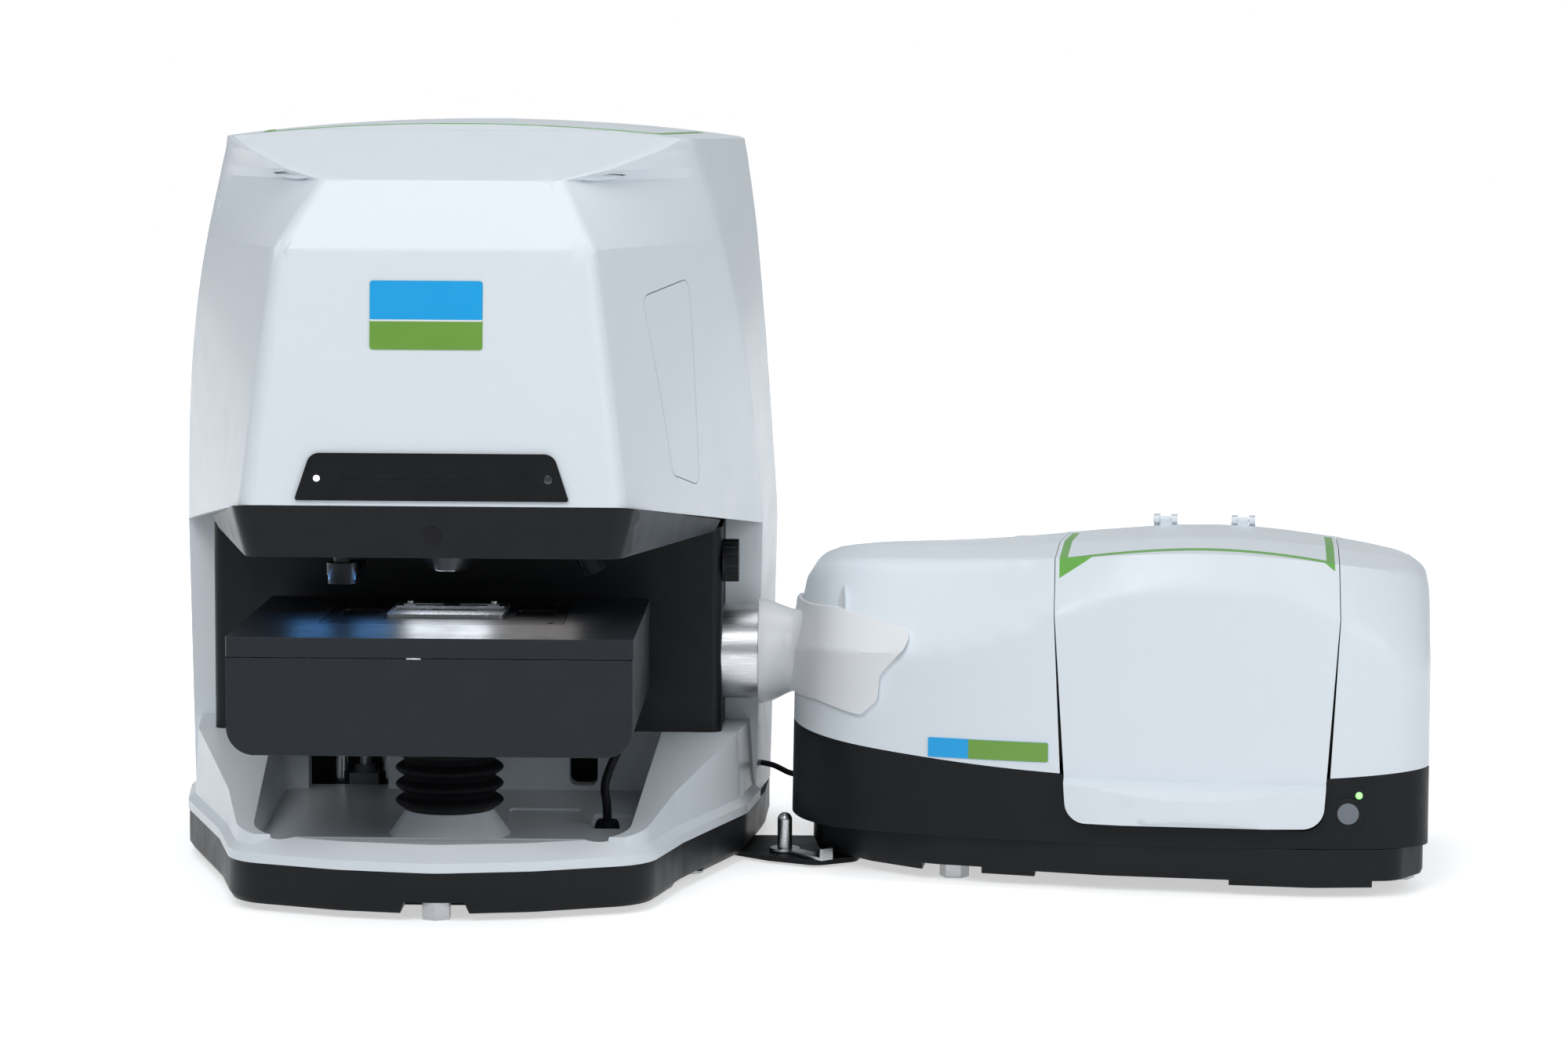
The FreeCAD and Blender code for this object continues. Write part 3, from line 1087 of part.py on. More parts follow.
def spec_form(grow=0.0):
    """The spectrometer's whole outer form, or its inside where grow is negative."""
    stations = [
        (SPEC_LEFT, 112, 150, 200, 52), (-288, 78, 160, 218, 52), (-262, 46, 164, 229, 56),
        (-215, 28, 166, 233, 54), (-150, 15, 179, 237, 40), (-60, 6, 212, 246, 8),
        (8, 3, SPEC_CREASE_Z, SPEC_TOP_Z, 2), (76, 4, 211, 246, 8), (130, 11, 186, 238, 26),
        (160, 24, 172, 230, 40), (SPEC_RIGHT, 58, 158, 208, 40),
    ]
    wires = []
    last = len(stations) - 1
    for i, (x, front, crease, top, reach) in enumerate(stations):
        if i == 0:
            x -= grow
        if i == last:
            x += grow
        wires.append(spec_station(x, front - grow, crease + grow * 0.3, top + grow, reach))
    form = Part.makeLoft(wires, True, False)
    left, right, rear = SPEC_LEFT - max(grow, 0), SPEC_RIGHT + max(grow, 0), SPEC_REAR + grow
    if grow < 0:
        left, right = SPEC_LEFT - grow, SPEC_RIGHT + grow
    corner = SPEC_REAR_CORNER + min(grow, 0)
    plan = prism([(left, -60), (right, -60), (right, rear), (left, rear)], [1, 1, corner, corner], -50, 400)
    return form.common(plan)


def band_arc(y_low, y_high, z_shift=0.0):
    """Everything under the gentle arc that parts the band from the cover."""
    centre = BAND_TOP + z_shift + BAND_ARC
    block = box((-420, y_low, -60), (420, y_high, 200))
    return block.cut(cylinder(BAND_ARC, (-10, y_low - 5, centre), y_high - y_low + 10, (0, 1, 0)))


def lid_region(grow, z_low=0.0):
    """Slice of the spectrometer that lifts with its lid, narrower towards the front foot."""
    left = LID_LEFT - grow
    right = LID_RIGHT + grow
    points = [(left + 11, z_low), (right - 10, z_low), (right, 200), (right - 2, 260), (left - 2, 260),
              (left, 200)]
    radii = [LID_LIP_CORNER, LID_LIP_CORNER, 0, 0, 0, 0]
    return xz_prism(points, radii, -60, SPEC_HINGE_Y + 8 + grow)


def spec_plinth_points(inset=0.0):
    points = [(-236, 60), (-190, 30), (-60, 8), (90, 2), (150, 14), (170, 50), (170, 284), (-284, 284),
              (-284, 110)]
    return inset_points(points, inset)


def plinth_wire(inset, z):
    scale = max(0.4, 1 - inset / 60.0)
    return level_wire(spec_plinth_points(inset), [r * scale for r in PLINTH_RADII], z)


def make_spec_plinth():
    outer = Part.makeLoft([plinth_wire(4, PLINTH_BOTTOM), plinth_wire(1, PLINTH_BOTTOM + 8)], True, True)
    wall = Part.Face(plinth_wire(1, PLINTH_BOTTOM + 8)).extrude(vec(0, 0, PLINTH_TOP - PLINTH_BOTTOM - 8))
    inner = Part.Face(plinth_wire(1 + PAN_WALL, PLINTH_BOTTOM + 10)).extrude(vec(0, 0, 60))
    raised = [box((-110, -60, 0), (30, 120, PLINTH_BOTTOM + 4))]
    for x, y in SPEC_FRONT_FEET:
        raised.append(box((x - 22, -60, 0), (x + 22, y + 22, PLINTH_BOTTOM + PLINTH_NOTCH)))
    return cut(fuse([outer, wall]), [inner] + raised)


def make_spec_shells(form, inner):
    shell = form.cut(inner)
    bottom = PLINTH_TOP + SEAT_GAP
    shell = shell.common(box((-420, -100, bottom), (420, 400, 400)))
    floor = form.common(box((-420, -100, bottom), (420, 400, bottom + SPEC_FLOOR)))
    lid_cut = lid_region(GAP, LID_LIP_Z - 3)
    band = shell.common(band_arc(-100, 400)).cut(lid_cut).fuse(floor)
    cover = shell.cut(band_arc(-100, 400, GAP)).cut(lid_region(GAP, 0))
    skin = front_skin_y(form, POWER_X, POWER_Z)
    bezel = cylinder(BEZEL_RADIUS, (POWER_X, skin - 1.2, POWER_Z), SPEC_WALL + 3, (0, 1, 0))
    power_hole = cylinder(POWER_RADIUS + RUN_CLEARANCE, (POWER_X, -40, POWER_Z), 80, (0, 1, 0))
    led_hole = cylinder(2.6, (LED_X, -40, LED_Z), 80, (0, 1, 0))
    slots = [box((x, SPEC_REAR - 20, 60), (x + 5, SPEC_REAR + 20, 76)) for x in range(-60, 60, 12)]
    band = cut(fuse([band, bezel]), [power_hole, led_hole] + slots)
    port = spec_unplace(cylinder(BEAM_PORT, (200, TUBE_Y, TUBE_Z), 100, (1, 0, 0)))
    return band, fuse([cover.cut(port)] + cover_lugs(inner))


def make_spec_lid(form, inner):
    """Lifting sample lid: shell slice with a moulded lip over the band."""
    shell = form.cut(inner).common(lid_region(0, LID_LIP_Z))
    front = box((-400, -100, LID_LIP_Z), (400, SPEC_HINGE_Y + 8, 400))
    shell = shell.common(front)
    lip_profile = [(16.0, LID_LIP_Z), (LID_LIP_Y + 3, LID_LIP_Z), (LID_LIP_Y, LID_LIP_Z + 4),
                   (LID_LIP_Y, 71), (LID_LIP_Y + 5, 78), (LID_LIP_Y + 16, 82), (16.0, 84)]
    lip = yz_prism(lip_profile, -120, 120).cut(inner)
    lip = lip.common(lid_region(0, LID_LIP_Z)).common(lip_sweep())
    return fuse([shell, lip] + lid_eyes(inner))


def lid_eyes(inner):
    """Hinge eyes on the lid, each on a web that roots in the lid's wall."""
    eyes = []
    for x in HINGE_PLACES:
        start = (x - EYE_LENGTH / 2, SPEC_HINGE_Y, SPEC_HINGE_Z)
        eye = cylinder(EYE_RADIUS, start, EYE_LENGTH, (1, 0, 0))
        web = box((start[0], SPEC_HINGE_Y - 2, SPEC_HINGE_Z - 20), (start[0] + EYE_LENGTH, SPEC_HINGE_Y + 2,
                                                                 SPEC_HINGE_Z)).cut(inner)
        bore = cylinder(HINGE_PIN + PIN_CLEARANCE, (start[0] - 1, SPEC_HINGE_Y, SPEC_HINGE_Z), 20, (1, 0, 0))
        eyes.append(fuse([eye, web]).cut(bore))
    return eyes


def cover_lugs(inner):
    """Hinge lugs on the cover behind the lid, with the pins that carry the lid's eyes."""
    lugs = []
    for x in HINGE_PLACES:
        reach = EYE_LENGTH / 2 + SEAT_GAP
        for low in (x - reach - LUG_LENGTH, x + reach):
            end = cylinder(EYE_RADIUS, (low, SPEC_HINGE_Y, SPEC_HINGE_Z), LUG_LENGTH, (1, 0, 0))
            arm = box((low, SPEC_HINGE_Y, SPEC_HINGE_Z - 1.5), (low + LUG_LENGTH, SPEC_HINGE_Y + 15,
                                                              SPEC_HINGE_Z + EYE_RADIUS))
            leg = box((low, SPEC_HINGE_Y + 10.5, SPEC_HINGE_Z - 30),
                      (low + LUG_LENGTH, SPEC_HINGE_Y + 15, SPEC_HINGE_Z)).cut(inner)
            lugs += [end, arm, leg]
        span = 2 * (reach + LUG_LENGTH)
        lugs.append(cylinder(HINGE_PIN, (x - span / 2, SPEC_HINGE_Y, SPEC_HINGE_Z), span, (1, 0, 0)))
    return lugs


def lip_sweep():
    """Plan of the lip: bowed forward in the middle and run back into the cover at its ends."""
    span = (LID_LEFT + LID_RIGHT) / 2
    return cylinder(LIP_BOW, (span, LID_LIP_Y + LIP_BOW, 0), 200)


def make_spec_lid_trim(form):
    """Green inlay: a U over the lid's shoulder with legs running back."""
    skin = form.cut(spec_form(-1.0))
    front = box((-400, 38, 100), (400, 48, 400))
    legs = [xz_prism([(x - 6, 190), (x, 190), (x - 2, 262), (x - 8, 262)], [0] * 4, 38, SPEC_HINGE_Y - 30)
            for x in (LID_LEFT + 9,)]
    legs += [xz_prism([(x, 190), (x + 6, 190), (x + 4, 262), (x - 2, 262)], [0] * 4, 38, SPEC_HINGE_Y - 30)
             for x in (LID_RIGHT - 9,)]
    edge = lid_region(-3.0, 100)
    return skin.common(fuse([front] + legs).common(edge))


def make_sample_bay():
    """Open-topped compartment with beam ports in its side walls."""
    outer = box((LID_LEFT + 2, BAY_FRONT_Y, BAY_FLOOR_Z), (LID_RIGHT - 2, BAY_REAR_Y, BAY_TOP_Z))
    left, right, over = LID_LEFT + 5, LID_RIGHT - 5, BAY_TOP_Z + 9
    inner = box((left, BAY_FRONT_Y + 3, BAY_FLOOR_Z + 4), (right, BAY_REAR_Y - 3, over))
    scoop = box((left, BAY_FRONT_Y - 9, BAY_FLOOR_Z + 30), (right, BAY_FRONT_Y + 9, over))
    ports = cylinder(18, (-200, BAY_WINDOW_Y, BAY_WINDOW_Z), 400, (1, 0, 0))
    return cut(outer, [inner, scoop, ports])


def make_bay_windows():
    left = cylinder(18 - SEAT_GAP, (LID_LEFT + 2, BAY_WINDOW_Y, BAY_WINDOW_Z), 3, (1, 0, 0))
    right = cylinder(18 - SEAT_GAP, (LID_RIGHT - 5, BAY_WINDOW_Y, BAY_WINDOW_Z), 3, (1, 0, 0))
    return Part.makeCompound([left, right])


def make_sample_mount():
    """Slide-in sample holder plate standing on two rails on the compartment floor."""
    floor = BAY_FLOOR_Z + 4
    base = box((-26, 90, floor), (34, 190, floor + 6))
    upright = box((0, 100, floor + 6), (4, 180, floor + 96))
    window = cylinder(16, (-10, BAY_WINDOW_Y, BAY_WINDOW_Z), 30, (1, 0, 0))
    return fuse([base, upright]).cut(window)


def make_optics_casting():
    """Cast housing of the interferometer on the left, standing in the plinth."""
    floor = spec_floor_z()
    body = box((-262, 84, floor), (-112, 262, CASTING_TOP))
    pocket = box((-252, 94, floor + 8), (-122, 252, 260))
    port_left = cylinder(20, (-300, BAY_WINDOW_Y, BAY_WINDOW_Z - 34), 60, (1, 0, 0))
    ribs = [box((-262, y, floor + 8), (-250, y + 5, CASTING_TOP - 10)) for y in (120, 160, 200, 240)]
    block = box((-216, 130, floor + 4), (-156, 200, floor + 24))
    post = cylinder(ROTOR_POST, (ROTOR_X, ROTOR_Y, floor + 20), 60)
    return fuse([cut(body, [pocket, port_left])] + ribs + [block, post])


def spec_floor_z():
    return PLINTH_TOP + SEAT_GAP + SPEC_FLOOR


def make_rotor():
    """Rotating mirror pair that makes the path difference."""
    floor = spec_floor_z() + 24 + SEAT_GAP
    hub = ring(14, ROTOR_POST + RUN_CLEARANCE, (ROTOR_X, ROTOR_Y, floor), 40)
    pieces = [hub]
    for side in (-1, 1):
        arm_low, arm_high = sorted((ROTOR_X + side * 12, ROTOR_X + side * 34))
        face_low, face_high = sorted((ROTOR_X + side * 34, ROTOR_X + side * 38))
        pieces.append(box((arm_low, ROTOR_Y - 4, floor + 6), (arm_high, ROTOR_Y + 4, floor + 34)))
        pieces.append(box((face_low, ROTOR_Y - 15, floor + 4), (face_high, ROTOR_Y + 15, floor + 36)))
    return fuse(pieces)


def make_ir_source():
    floor = spec_floor_z() + 8
    body = cylinder(16, (-150, 112, floor), 76)
    fins = [ring(17.5, 15, (-150, 112, floor + 20 + 8 * i), 3) for i in range(6)]
    return fuse([body] + fins)


def make_laser():
    floor = spec_floor_z() + 8
    cradle = box((-244, 216, floor), (-214, 244, floor + 38))
    body = cylinder(10, (-240, 230, floor + 40), 90, (1, 0, 0))
    return fuse([cradle, body])


def make_spec_detector():
    floor = spec_floor_z()
    post = box((116, 110, floor), (152, 170, 128))
    can = cylinder(22, (112, BAY_WINDOW_Y, BAY_WINDOW_Z - 6), 44, (1, 0, 0))
    return fuse([post, can])


def front_skin_y(form, x, z):
    """Depth at which a line along Y meets the front of the form."""
    return form.common(Part.makeLine(vec(x, -60, z), vec(x, 150, z))).BoundBox.YMin


def make_power_button(form):
    face = front_skin_y(form, POWER_X, POWER_Z) - 2.2
    stem = cylinder(POWER_RADIUS, (POWER_X, face, POWER_Z), 11, (0, 1, 0))
    flange = cylinder(POWER_RADIUS + 2, (POWER_X, face + SPEC_WALL + 4.5, POWER_Z), 2, (0, 1, 0))
    return fuse([stem, flange])


def make_power_led(form):
    return cylinder(2.55, (LED_X, front_skin_y(form, LED_X, LED_Z), LED_Z), 4, (0, 1, 0))


def make_spec_feet():
    hexagon = [(FOOT_RADIUS * math.cos(math.radians(60 * i)), FOOT_RADIUS * math.sin(math.radians(60 * i)))
               for i in range(6)]
    feet = []
    tall = PLINTH_BOTTOM + PLINTH_NOTCH
    for (x, y), top in ([(place, tall) for place in SPEC_FRONT_FEET]
                        + [(place, PLINTH_BOTTOM) for place in SPEC_REAR_FEET]):
        foot = prism([(x + a, y + b) for a, b in hexagon], [1.0] * 6, 0, top)
        feet.append(spec_place(foot))
    return feet


# Boot that joins the beam tube to the spectrometer

def make_boot():
    """White moulded boot: ring, narrow neck and a shield that hugs the spectrometer's corner."""
    stations = [(BOOT_RING, 0, 0, 0), (BOOT_RING - 1, 8, 0, 0), (BOOT_NECK, 21, -2, 1),
                (BOOT_NECK - 3, 34, -10, 3), (BOOT_NECK + 2, 48, -20, 6), (BOOT_RING + 8, 64, -32, 10)]
    circles = []
    for radius, dx, dy, dz in stations:
        centre = vec(TUBE_END_X + dx, TUBE_Y + dy, TUBE_Z + dz)
        circles.append(Part.Wire(Part.makeCircle(radius, centre, vec(1, 0, 0))))
    trunk = spec_unplace(Part.makeLoft(circles, True, False))
    clear = spec_form(SEAT_GAP)
    outline_points = [(-330, 126), (-275, 128), (-240, 120), (-227, 132), (-226, 150), (-208, 170),
                      (-203, 182), (-262, 194), (-330, 189)]
    shield = xz_prism(outline_points, [1, 8, 8, 8, 12, 12, 6, 20, 1], -60, SHIELD_REAR_Y)
    shield = shield.common(spec_form(SHIELD_THICK))
    bore = spec_unplace(cylinder(BEAM_PORT, (200, TUBE_Y, TUBE_Z), 160, (1, 0, 0)))
    return cut(trunk.fuse(shield), [clear, bore])


def make_docking_plate():
    left, right, back = HOUSING_HALF + 6, SPEC_X - 228, SPEC_Y + 161
    points = [(left, back - 20), (left + 30, back - 46), (right - 38, back - 64), (right - 8, back - 46),
              (right, back), (right - 38, back + 40), (left + 10, back + 40)]
    plate = prism(points, [14] * 7, DOCK_Z, DOCK_Z + DOCK_THICK)
    pad = prism([(right - 24, back - 28), (right - 8, back - 34), (right - 4, back - 4), (right - 24, back + 2)],
                [3] * 4, DOCK_Z + DOCK_THICK, PLINTH_BOTTOM)
    return fuse([plate, pad])


def make_locating_pin():
    base = DOCK_Z + DOCK_THICK
    pin = cylinder(PIN_RADIUS, (PIN_X, PIN_Y, base), PIN_HEIGHT)
    cap = Part.makeSphere(PIN_RADIUS, vec(PIN_X, PIN_Y, base + PIN_HEIGHT))
    return fuse([pin, cap])


def make_dock_lever():
    base = DOCK_Z + DOCK_THICK + SEAT_GAP
    eye = cylinder(PIN_RADIUS + 6, (PIN_X, PIN_Y, base), LEVER_THICK)
    angle = math.radians(-50)
    along = vec(math.cos(angle), math.sin(angle), 0)
    side = vec(-math.sin(angle), math.cos(angle), 0) * 5.5
    start = vec(PIN_X, PIN_Y, base)
    end = start + along * LEVER_LENGTH
    bar = Part.Face(Part.makePolygon([start + side, start - side, end - side, end + side, start + side]))
    bar = bar.extrude(vec(0, 0, LEVER_THICK))
    back = along * LEVER_THICK
    corners = [end + side, end - side, end - side - back, end + side - back, end + side]
    tab = Part.Face(Part.makePolygon(corners)).extrude(vec(0, 0, 9))
    bore = cylinder(PIN_RADIUS + RUN_CLEARANCE, (PIN_X, PIN_Y, base - 1), 30)
    return fuse([eye, bar, tab]).cut(bore)


# Cords

def cord(route, radius, label):
    """Plain tube of straight runs and tangent arcs along a route."""
    points = [vec(*p) for p in route]
    radii = []
    edges = []
    last = points[0]
    for i in range(1, len(points) - 1):
        back = points[i - 1] - points[i]
        ahead = points[i + 1] - points[i]
        short = min(back.Length, ahead.Length)
        turn = math.pi - back.getAngle(ahead)
        bend = 0.45 * short / math.tan(turn / 2)
        reach = 0.45 * short
        back.normalize()
        ahead.normalize()
        start, end = points[i] + back * reach, points[i] + ahead * reach
        middle_dir = (back + ahead).normalize()
        middle = points[i] + middle_dir * (bend / math.cos(turn / 2) - bend)
        edges += [Part.makeLine(last, start), Part.Arc(start, middle, end).toShape()]
        radii.append(round(bend, 1))
        last = end
    edges.append(Part.makeLine(last, points[-1]))
    path = Part.Wire(edges)
    first = (points[1] - points[0]).normalize()
    section = Part.Wire(Part.makeCircle(radius, points[0], first))
    tube = path.makePipeShell([section], True, True)
    share = tube.Volume / (math.pi * radius ** 2 * path.Length)
    print(label, "length", round(path.Length, 1), "radii", radii, "volume share", round(share, 4))
    return tube


def build_microscope():
    front, rear, door = make_covers()
    save("front_cover", front)
    save("rear_cover", cut(rear, lid_pins(PIVOT_RADIUS + PIN_CLEARANCE, 0.0, 7.0)))
    save("access_door", door)
    save("top_lid", make_top_lid())
    save("top_lid_trim", trim_form(0.0, TRIM_DEPTH, 0.4))
    save("power_inlet", make_power_inlet())
    save("base_pan", make_base_pan())
    save("base_cover", make_base_cover())
    save("cable_grommet", make_grommet())
    save("inner_housing", make_inner_housing())
    save("visor", make_visor())
    save("visor_button", make_visor_button())
    save("status_panel", make_status_panel())
    save("stage_body", make_stage_body())
    save("stage_y_plate", make_y_plate())
    save("stage_top_plate", make_stage_plate())
    save("stage_insert", make_stage_insert())
    save("slide_holder", make_slide_holder())
    save("slide_clips", make_slide_clips())
    save("bellows", make_bellows())
    save("condenser", make_condenser())
    save("guide_rods", make_rods())
    save("lead_screw", make_screw())
    save("focus_motor", make_motor())
    save("stage_carriage", make_carriage())
    save("main_frame", make_frame())
    save("optical_bench", make_bench())
    save("objective", make_objective())
    save("mirror_tower", make_mirror_tower())
    save("camera_module", make_camera())
    save("detector_dewar", make_dewar())
    save("dewar_cap", make_dewar_cap())
    save("control_board", make_control_board())
    save("illuminator", make_illuminator())
    save("atr_arm", make_atr_arm())
    save("atr_crystal", make_atr_crystal())
    save("side_knob", make_side_knob())
    save("beam_tube", make_beam_tube())


def build_spectrometer():
    form = spec_form()
    inner = spec_form(-SPEC_WALL)
    band, cover = make_spec_shells(form, inner)
    trim = make_spec_lid_trim(form)
    lid = make_spec_lid(form, inner).cut(trim)
    spec_save("spec_band", band)
    spec_save("spec_cover", cover)
    spec_save("spec_lid", lid)
    spec_save("spec_lid_trim", trim)
    spec_save("spec_plinth", make_spec_plinth())
    spec_save("sample_bay", make_sample_bay())
    spec_save("bay_windows", make_bay_windows())
    spec_save("sample_mount", make_sample_mount())
    spec_save("optics_casting", make_optics_casting())
    spec_save("interferometer_rotor", make_rotor())
    spec_save("ir_source", make_ir_source())
    spec_save("laser", make_laser())
    spec_save("spec_detector", make_spec_detector())
    spec_save("power_button", make_power_button(form))
    return form


def build_joining_parts(form):
    save("levelling_feet", Part.makeCompound(make_feet() + make_spec_feet()))
    lamps = [led_form(x) for x in LED_PLACES] + [spec_place(make_power_led(form))]
    save("indicator_lamps", Part.makeCompound(lamps))
    spec_save("coupling_boot", make_boot())
    save("docking_plate", make_docking_plate())
    save("locating_pin", make_locating_pin())
    save("dock_lever", make_dock_lever())
    save("stage_cable", cord(STAGE_CABLE_ROUTE, STAGE_CABLE_RADIUS, "stage cable"))
    save("link_cable", cord(LINK_CABLE_ROUTE, LINK_CABLE_RADIUS, "link cable"))


build_microscope()
spectrometer_form = build_spectrometer()
build_joining_parts(spectrometer_form)
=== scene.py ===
"""Looks of the infrared microscope and its docked spectrometer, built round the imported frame.

All lengths are in metres, in the frame's own axes: +X right, +Y back, +Z up, the origin at the
middle of the microscope's front foot. The spectrometer has its own axes, turned and set down
beside the microscope: spec_point and spec_direction take places and directions from them.
"""
import json
import math

import bmesh
import bpy
import numpy as np
from mathutils import Matrix, Vector
from mathutils.bvhtree import BVHTree


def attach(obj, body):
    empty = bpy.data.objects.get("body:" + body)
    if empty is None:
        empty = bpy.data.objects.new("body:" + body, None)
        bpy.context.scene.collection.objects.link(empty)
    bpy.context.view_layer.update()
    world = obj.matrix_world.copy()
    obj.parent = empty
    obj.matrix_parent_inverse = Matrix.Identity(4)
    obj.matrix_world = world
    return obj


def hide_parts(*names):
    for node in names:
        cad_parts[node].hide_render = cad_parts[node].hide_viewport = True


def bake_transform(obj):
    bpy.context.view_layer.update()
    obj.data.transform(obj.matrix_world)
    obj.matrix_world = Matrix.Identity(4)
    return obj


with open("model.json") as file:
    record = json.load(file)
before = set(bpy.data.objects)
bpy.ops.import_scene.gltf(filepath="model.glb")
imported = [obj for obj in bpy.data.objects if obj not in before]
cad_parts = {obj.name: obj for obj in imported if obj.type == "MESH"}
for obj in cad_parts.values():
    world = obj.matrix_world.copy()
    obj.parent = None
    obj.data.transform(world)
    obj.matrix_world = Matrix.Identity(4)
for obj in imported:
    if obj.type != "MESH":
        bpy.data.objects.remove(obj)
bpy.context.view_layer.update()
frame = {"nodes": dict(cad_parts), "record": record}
scene = bpy.context.scene

# Camera, fitted to the photograph's symmetric pairs
CAMERA_PLACE = Vector((0.2839, -2.785, 0.566))
CAMERA_YAW = math.radians(0.909)
CAMERA_PITCH = math.radians(5.902)
CAMERA_ROLL = math.radians(0.336)
LENS_MM = 93.6
SENSOR_MM = 36.0

# Where the spectrometer stands
SPEC_PLACE = Vector((0.528, 0.099, 0.0))
SPEC_TURN = math.radians(-6.0)

# Cord routes, repeated from the CAD source
STAGE_CABLE_ROUTE = [(0.121, 0.152, 0.1207), (0.121, 0.152, 0.1085), (0.118, 0.148, 0.096),
                     (0.112, 0.141, 0.0835), (0.108, 0.133, 0.0705), (0.111, 0.127, 0.059),
                     (0.111, 0.127, 0.0475)]
STAGE_CABLE_DIAMETER = 0.0064
LINK_CABLE_ROUTE = [(0.2180, 0.326, 0.058), (0.226, 0.3255, 0.057), (0.2335, 0.322, 0.054),
                    (0.241, 0.3165, 0.051), (0.2504, 0.314, 0.050)]
LINK_CABLE_DIAMETER = 0.0044
CORD_SIDES = 20

# Rounded edges of the CAD nodes
EDGE_WELD = 0.000005
EDGE_ANGLE = 38.0
EDGE_WIDTH = 0.0004

# Moulded skins: mesh size, smoothing and the angles that stay crisp
SKIN_WELD = 0.00001
SKIN_EDGE = 0.007
SKIN_PASSES = 7
SKIN_ROUNDS = 7
SKIN_STEP = 0.5
SKIN_TURN = 0.55
SKIN_RESETS = 12
PIN_ANGLE = 48.0
SKIN_SHARP = 45.0
PIECE_SHARP = 40.0

# Beads at the two ends of the hood's upper crease
CREASE_START = Vector((-0.0935, 0.0575, 0.5116))
CREASE_END = Vector((-0.1225, 0.1070, 0.5126))
CREASE_BEAD = 0.0027
CREASE_STEPS = 24

# Status panel's lamps, the power button's lamp and the nozzle's lens
PANEL_SLOPE = 0.0868
PANEL_FOOT_Y = -0.02863
PANEL_FOOT_Z = 0.290
LAMP_Z = 0.30875
LIT_LAMP_X = -0.0785
DARK_LAMP_X = 0.0795
POWER_LAMP_X = 0.1216
POWER_LAMP_Z = 0.0746
NOZZLE_MOUTH = Vector((0.104, 0.092, 0.232))
NOZZLE_DIRECTION = Vector((-0.42, 0, 0.91)).normalized()
NOZZLE_RECESS = 0.0028

# Bare plates
PLATE_PROUD = 0.0008
PLATE_SUNK = 0.0004
HOOD_PLATE_X = -0.0430
HOOD_PLATE_Z = 0.3962
HOOD_PLATE_SIZE = (0.0770, 0.0468)
HOOD_PLATE_CORNER = 0.0022
SPEC_PLATE_X = -0.189
SPEC_PLATE_Z = 0.0930
SPEC_PLATE_SIZE = (0.0880, 0.0140)
SPEC_PLATE_CORNER = 0.0012
SPEC_PLATE_BLUE = 0.029

# Bellows between the pedestal and the belly
BELLOWS_LOW = 0.0613
BELLOWS_HIGH = 0.1207
BELLOWS_Y = 0.095
BELLOWS_FOLDS = 5
BELLOWS_STEPS = 10
BELLOWS_WALL = 0.0013
BELLOWS_NECK = 0.0322
BELLOWS_FOLD = 0.0064

# Stage catch and screws
STAGE_FACE_Y = -0.0477
INSERT_TOP_Z = 0.2000
INSERT_SCREW_X = 0.076
INSERT_SCREW_Y = (0.039, 0.143)
REAR_SCREW_X = (-0.178, 0.0, 0.178)
REAR_SCREW_Z = (0.056, 0.285, 0.475)
REAR_SKIN_Y = 0.45
REAR_SCREW_SINK = 0.0014

# Backdrop
FLOOR_SIZE = 14.0
FLOOR_GLOW = 0.55
GLOW_NEAR = 0.6
GLOW_FAR = 1.7
WORLD_LEVEL = 0.34


# Camera

def make_camera():
    yaw, pitch, roll = CAMERA_YAW, CAMERA_PITCH, CAMERA_ROLL
    ahead = Vector((-math.sin(yaw) * math.cos(pitch), math.cos(yaw) * math.cos(pitch), -math.sin(pitch)))
    right = Vector((math.cos(yaw), math.sin(yaw), 0.0))
    up = right.cross(ahead)
    tilted_right = right * math.cos(roll) + up * math.sin(roll)
    tilted_up = up * math.cos(roll) - right * math.sin(roll)
    data = bpy.data.cameras.new("camera")
    data.lens = LENS_MM
    data.sensor_width = SENSOR_MM
    data.clip_start, data.clip_end = 0.05, 60.0
    camera = bpy.data.objects.new("camera", data)
    axes = Matrix((tilted_right, tilted_up, -ahead)).transposed().to_4x4()
    camera.matrix_world = Matrix.Translation(CAMERA_PLACE) @ axes
    scene.collection.objects.link(camera)
    scene.camera = camera


# Materials

def new_material(name):
    material = bpy.data.materials.new(name)
    material.use_nodes = True
    nodes, links = material.node_tree.nodes, material.node_tree.links
    shader = nodes["Principled BSDF"]
    return material, nodes, links, shader


def coordinates(nodes, links, scale):
    """Object coordinates stretched by a scale, so a grain keeps its size in metres."""
    source = nodes.new("ShaderNodeTexCoord")
    mapping = nodes.new("ShaderNodeMapping")
    mapping.inputs["Scale"].default_value = scale
    links.new(source.outputs["Object"], mapping.inputs["Vector"])
    return mapping.outputs["Vector"]


def noise(nodes, links, vector, scale, detail=3.0):
    texture = nodes.new("ShaderNodeTexNoise")
    texture.inputs["Scale"].default_value = scale
    texture.inputs["Detail"].default_value = detail
    links.new(vector, texture.inputs["Vector"])
    return texture.outputs["Fac"]


def spread(nodes, links, value, low, high):
    """Turns a noise value, most of which lies between 0.3 and 0.7, into a range around a setting."""
    ranged = nodes.new("ShaderNodeMapRange")
    ranged.inputs["From Min"].default_value = 0.3
    ranged.inputs["From Max"].default_value = 0.7
    ranged.inputs["To Min"].default_value = low
    ranged.inputs["To Max"].default_value = high
    links.new(value, ranged.inputs["Value"])
    return ranged.outputs["Result"]


def mix_colours(nodes, links, factor, first, second):
    mixed = nodes.new("ShaderNodeMix")
    mixed.data_type = "RGBA"
    mixed.inputs["A"].default_value = (*first, 1)
    mixed.inputs["B"].default_value = (*second, 1)
    links.new(factor, mixed.inputs["Factor"])
    return mixed.outputs["Result"]


